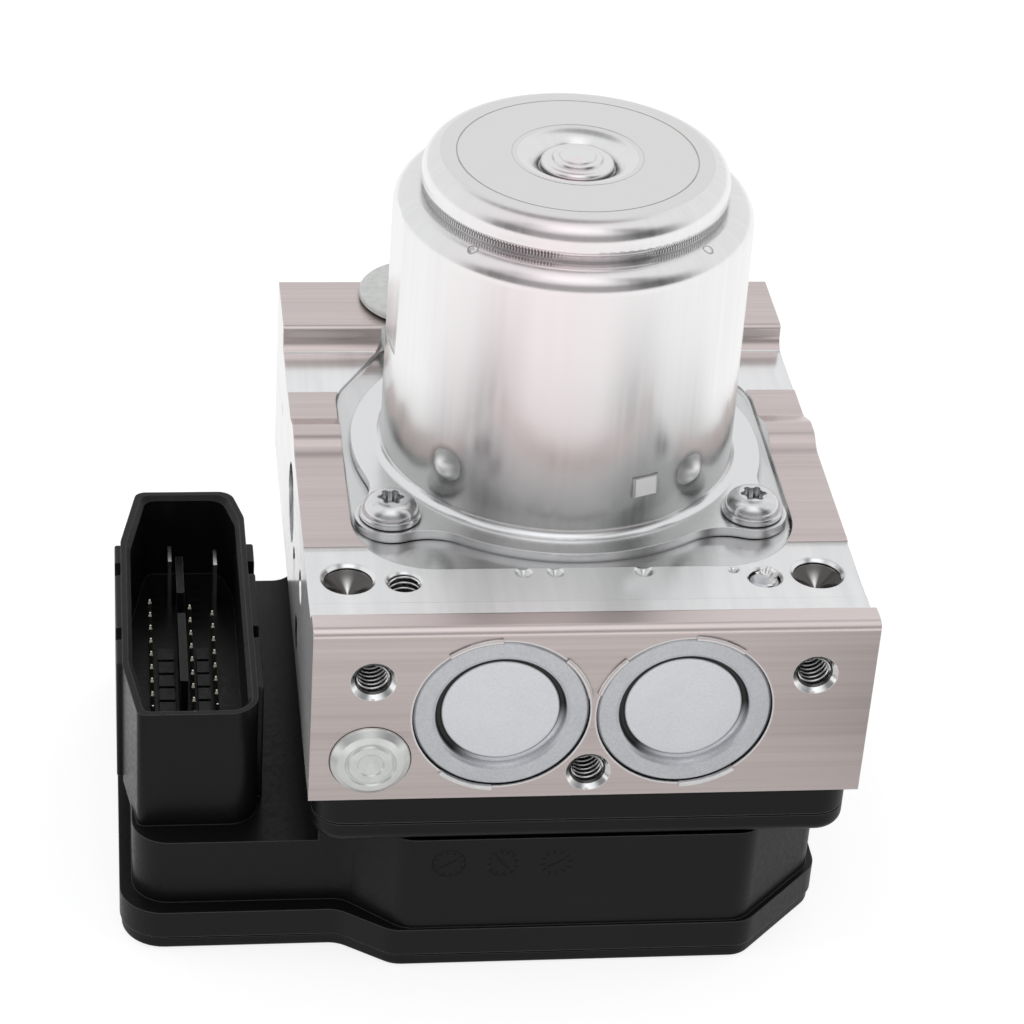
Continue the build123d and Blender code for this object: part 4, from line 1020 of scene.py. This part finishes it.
def staking_lip(cover, start, end, material):
    """One staked lip round a cover: a short bar bent along the cover's edge, with square ends."""
    deselect()
    x, height = cover
    bpy.ops.mesh.primitive_plane_add(size=1)
    bar = bpy.context.object
    edit_all()
    bpy.ops.mesh.delete(type="ONLY_FACE")
    bpy.ops.mesh.select_all(action="SELECT")
    bpy.ops.transform.resize(value=(0.74 * MM, 0.70 * MM, 1))
    stand_up((13.85 * MM, 0, 0))
    bpy.ops.mesh.spin(steps=16, angle=radians(end - start), center=(0, 0, 0), axis=(0, 0, 1))
    bpy.ops.mesh.select_all(action="SELECT")
    bpy.ops.mesh.fill_holes(sides=4)
    end_edit()
    middle = sum((vertex.co for vertex in bar.data.vertices), Vector()) / len(bar.data.vertices)
    turn = radians((start + end) / 2) - atan2(middle.y, middle.x)
    round_off = bar.modifiers.new("round_off", "BEVEL")
    round_off.width = 0.07 * MM
    round_off.segments = 2
    bar.rotation_euler = (radians(90), -turn, 0)
    bar.location = point(x, block_front - 0.03, block_z + height)
    return settle(bar, "staked_lip", material)


make_camera()
make_floor()
make_studio()
streaks = make_streaks()
soft_edges = make_soft_edges()
painted_crevice_shade = make_painted_crevice_shade()
turned_place = make_turned_place()
thin_line = make_line_mask()
mould_clock = make_mould_clock()

block_aluminium = make_block_aluminium()
ground_steel = make_bright_steel("ground_steel", (0.60, 0.60, 0.62), 0.25)
by_slot = {
    "block": block_aluminium,
    "can": make_can_steel(),
    "screw_steel": make_bright_steel("screw_zinc", (0.82, 0.82, 0.83), 0.20),
    "cover_zinc": make_bright_steel("plug_zinc", (0.72, 0.73, 0.75), 0.32),
    "plug_grey": make_plain_plastic("plug_plastic", (0.72, 0.73, 0.71), 0.5),
    "housing_black": make_black_plastic("black_plastic", (0.0070, 0.0070, 0.0073), 0.33),
    "cover_black": make_black_plastic("cover_plastic", (0.0050, 0.0050, 0.0053), 0.38),
    "seal_rubber": make_plain_plastic("seal_rubber", grey(0.004), 0.8),
    "board_green": make_plain_plastic("board_green", (0.02, 0.13, 0.05), 0.4),
    "contact_tin": make_contact_metal("contact_tin", (0.88, 0.85, 0.77)),
    "copper": make_bright_steel("copper", (0.80, 0.42, 0.26), 0.30),
    "steel": ground_steel,
    "bronze": make_bright_steel("bronze", (0.62, 0.46, 0.26), 0.40),
    "magnet": make_plain_plastic("ferrite", (0.05, 0.05, 0.052), 0.55),
    "inner_plastic": make_plain_plastic("inner_plastic", (0.40, 0.36, 0.29), 0.5),
    "carbon": make_plain_plastic("carbon", grey(0.03), 0.5),
}
for subpart in frame["record"]["subparts"]:
    dress(subpart["node"], by_slot[subpart["material_slot"]])
dress("damper_cap", make_cap_aluminium("damper_metal", (0.90, 0.915, 0.895)))
dress("power_blades", make_contact_metal("blade_tin", (0.80, 0.79, 0.76)))
for side, cover in zip(("left", "right"), cover_places):
    dress(f"accumulator_cover_{side}", make_cover_zinc(f"cover_zinc_{side}", cover))
    dress(f"accumulator_piston_{side}", ground_steel)

thread_metal = make_bright_steel("thread_metal", (0.97, 0.96, 0.96), 0.16, 0.25)
for number, (x, height) in enumerate(front_holes, 1):
    mouth = point(x, block_front + 0.6, block_z + height)
    thread_turns(f"thread_front_{number}", mouth, (radians(90), 0, 0), 9, thread_metal)
thread_turns("thread_ledge", point(*ledge_hole, ledge_z - 0.1), (0, 0, 0), 7, thread_metal)

for side in ("left", "right"):
    return_spring("accumulator", side, 1.3, 4, 1)
    return_spring("pump", side, 0.8, 5, 0)

ledge_chip(thread_metal)
can_bumps(make_bump_steel())

lip_silver = make_bright_steel("lip_silver", (0.97, 0.96, 0.96), 0.22, 0.3)
lips = []
for cover, spans in zip(cover_places, lip_spans):
    for start, end in spans:
        lips.append(staking_lip(cover, start, end, lip_silver if start > 200 else block_aluminium))
join(lips, "cover_staking")
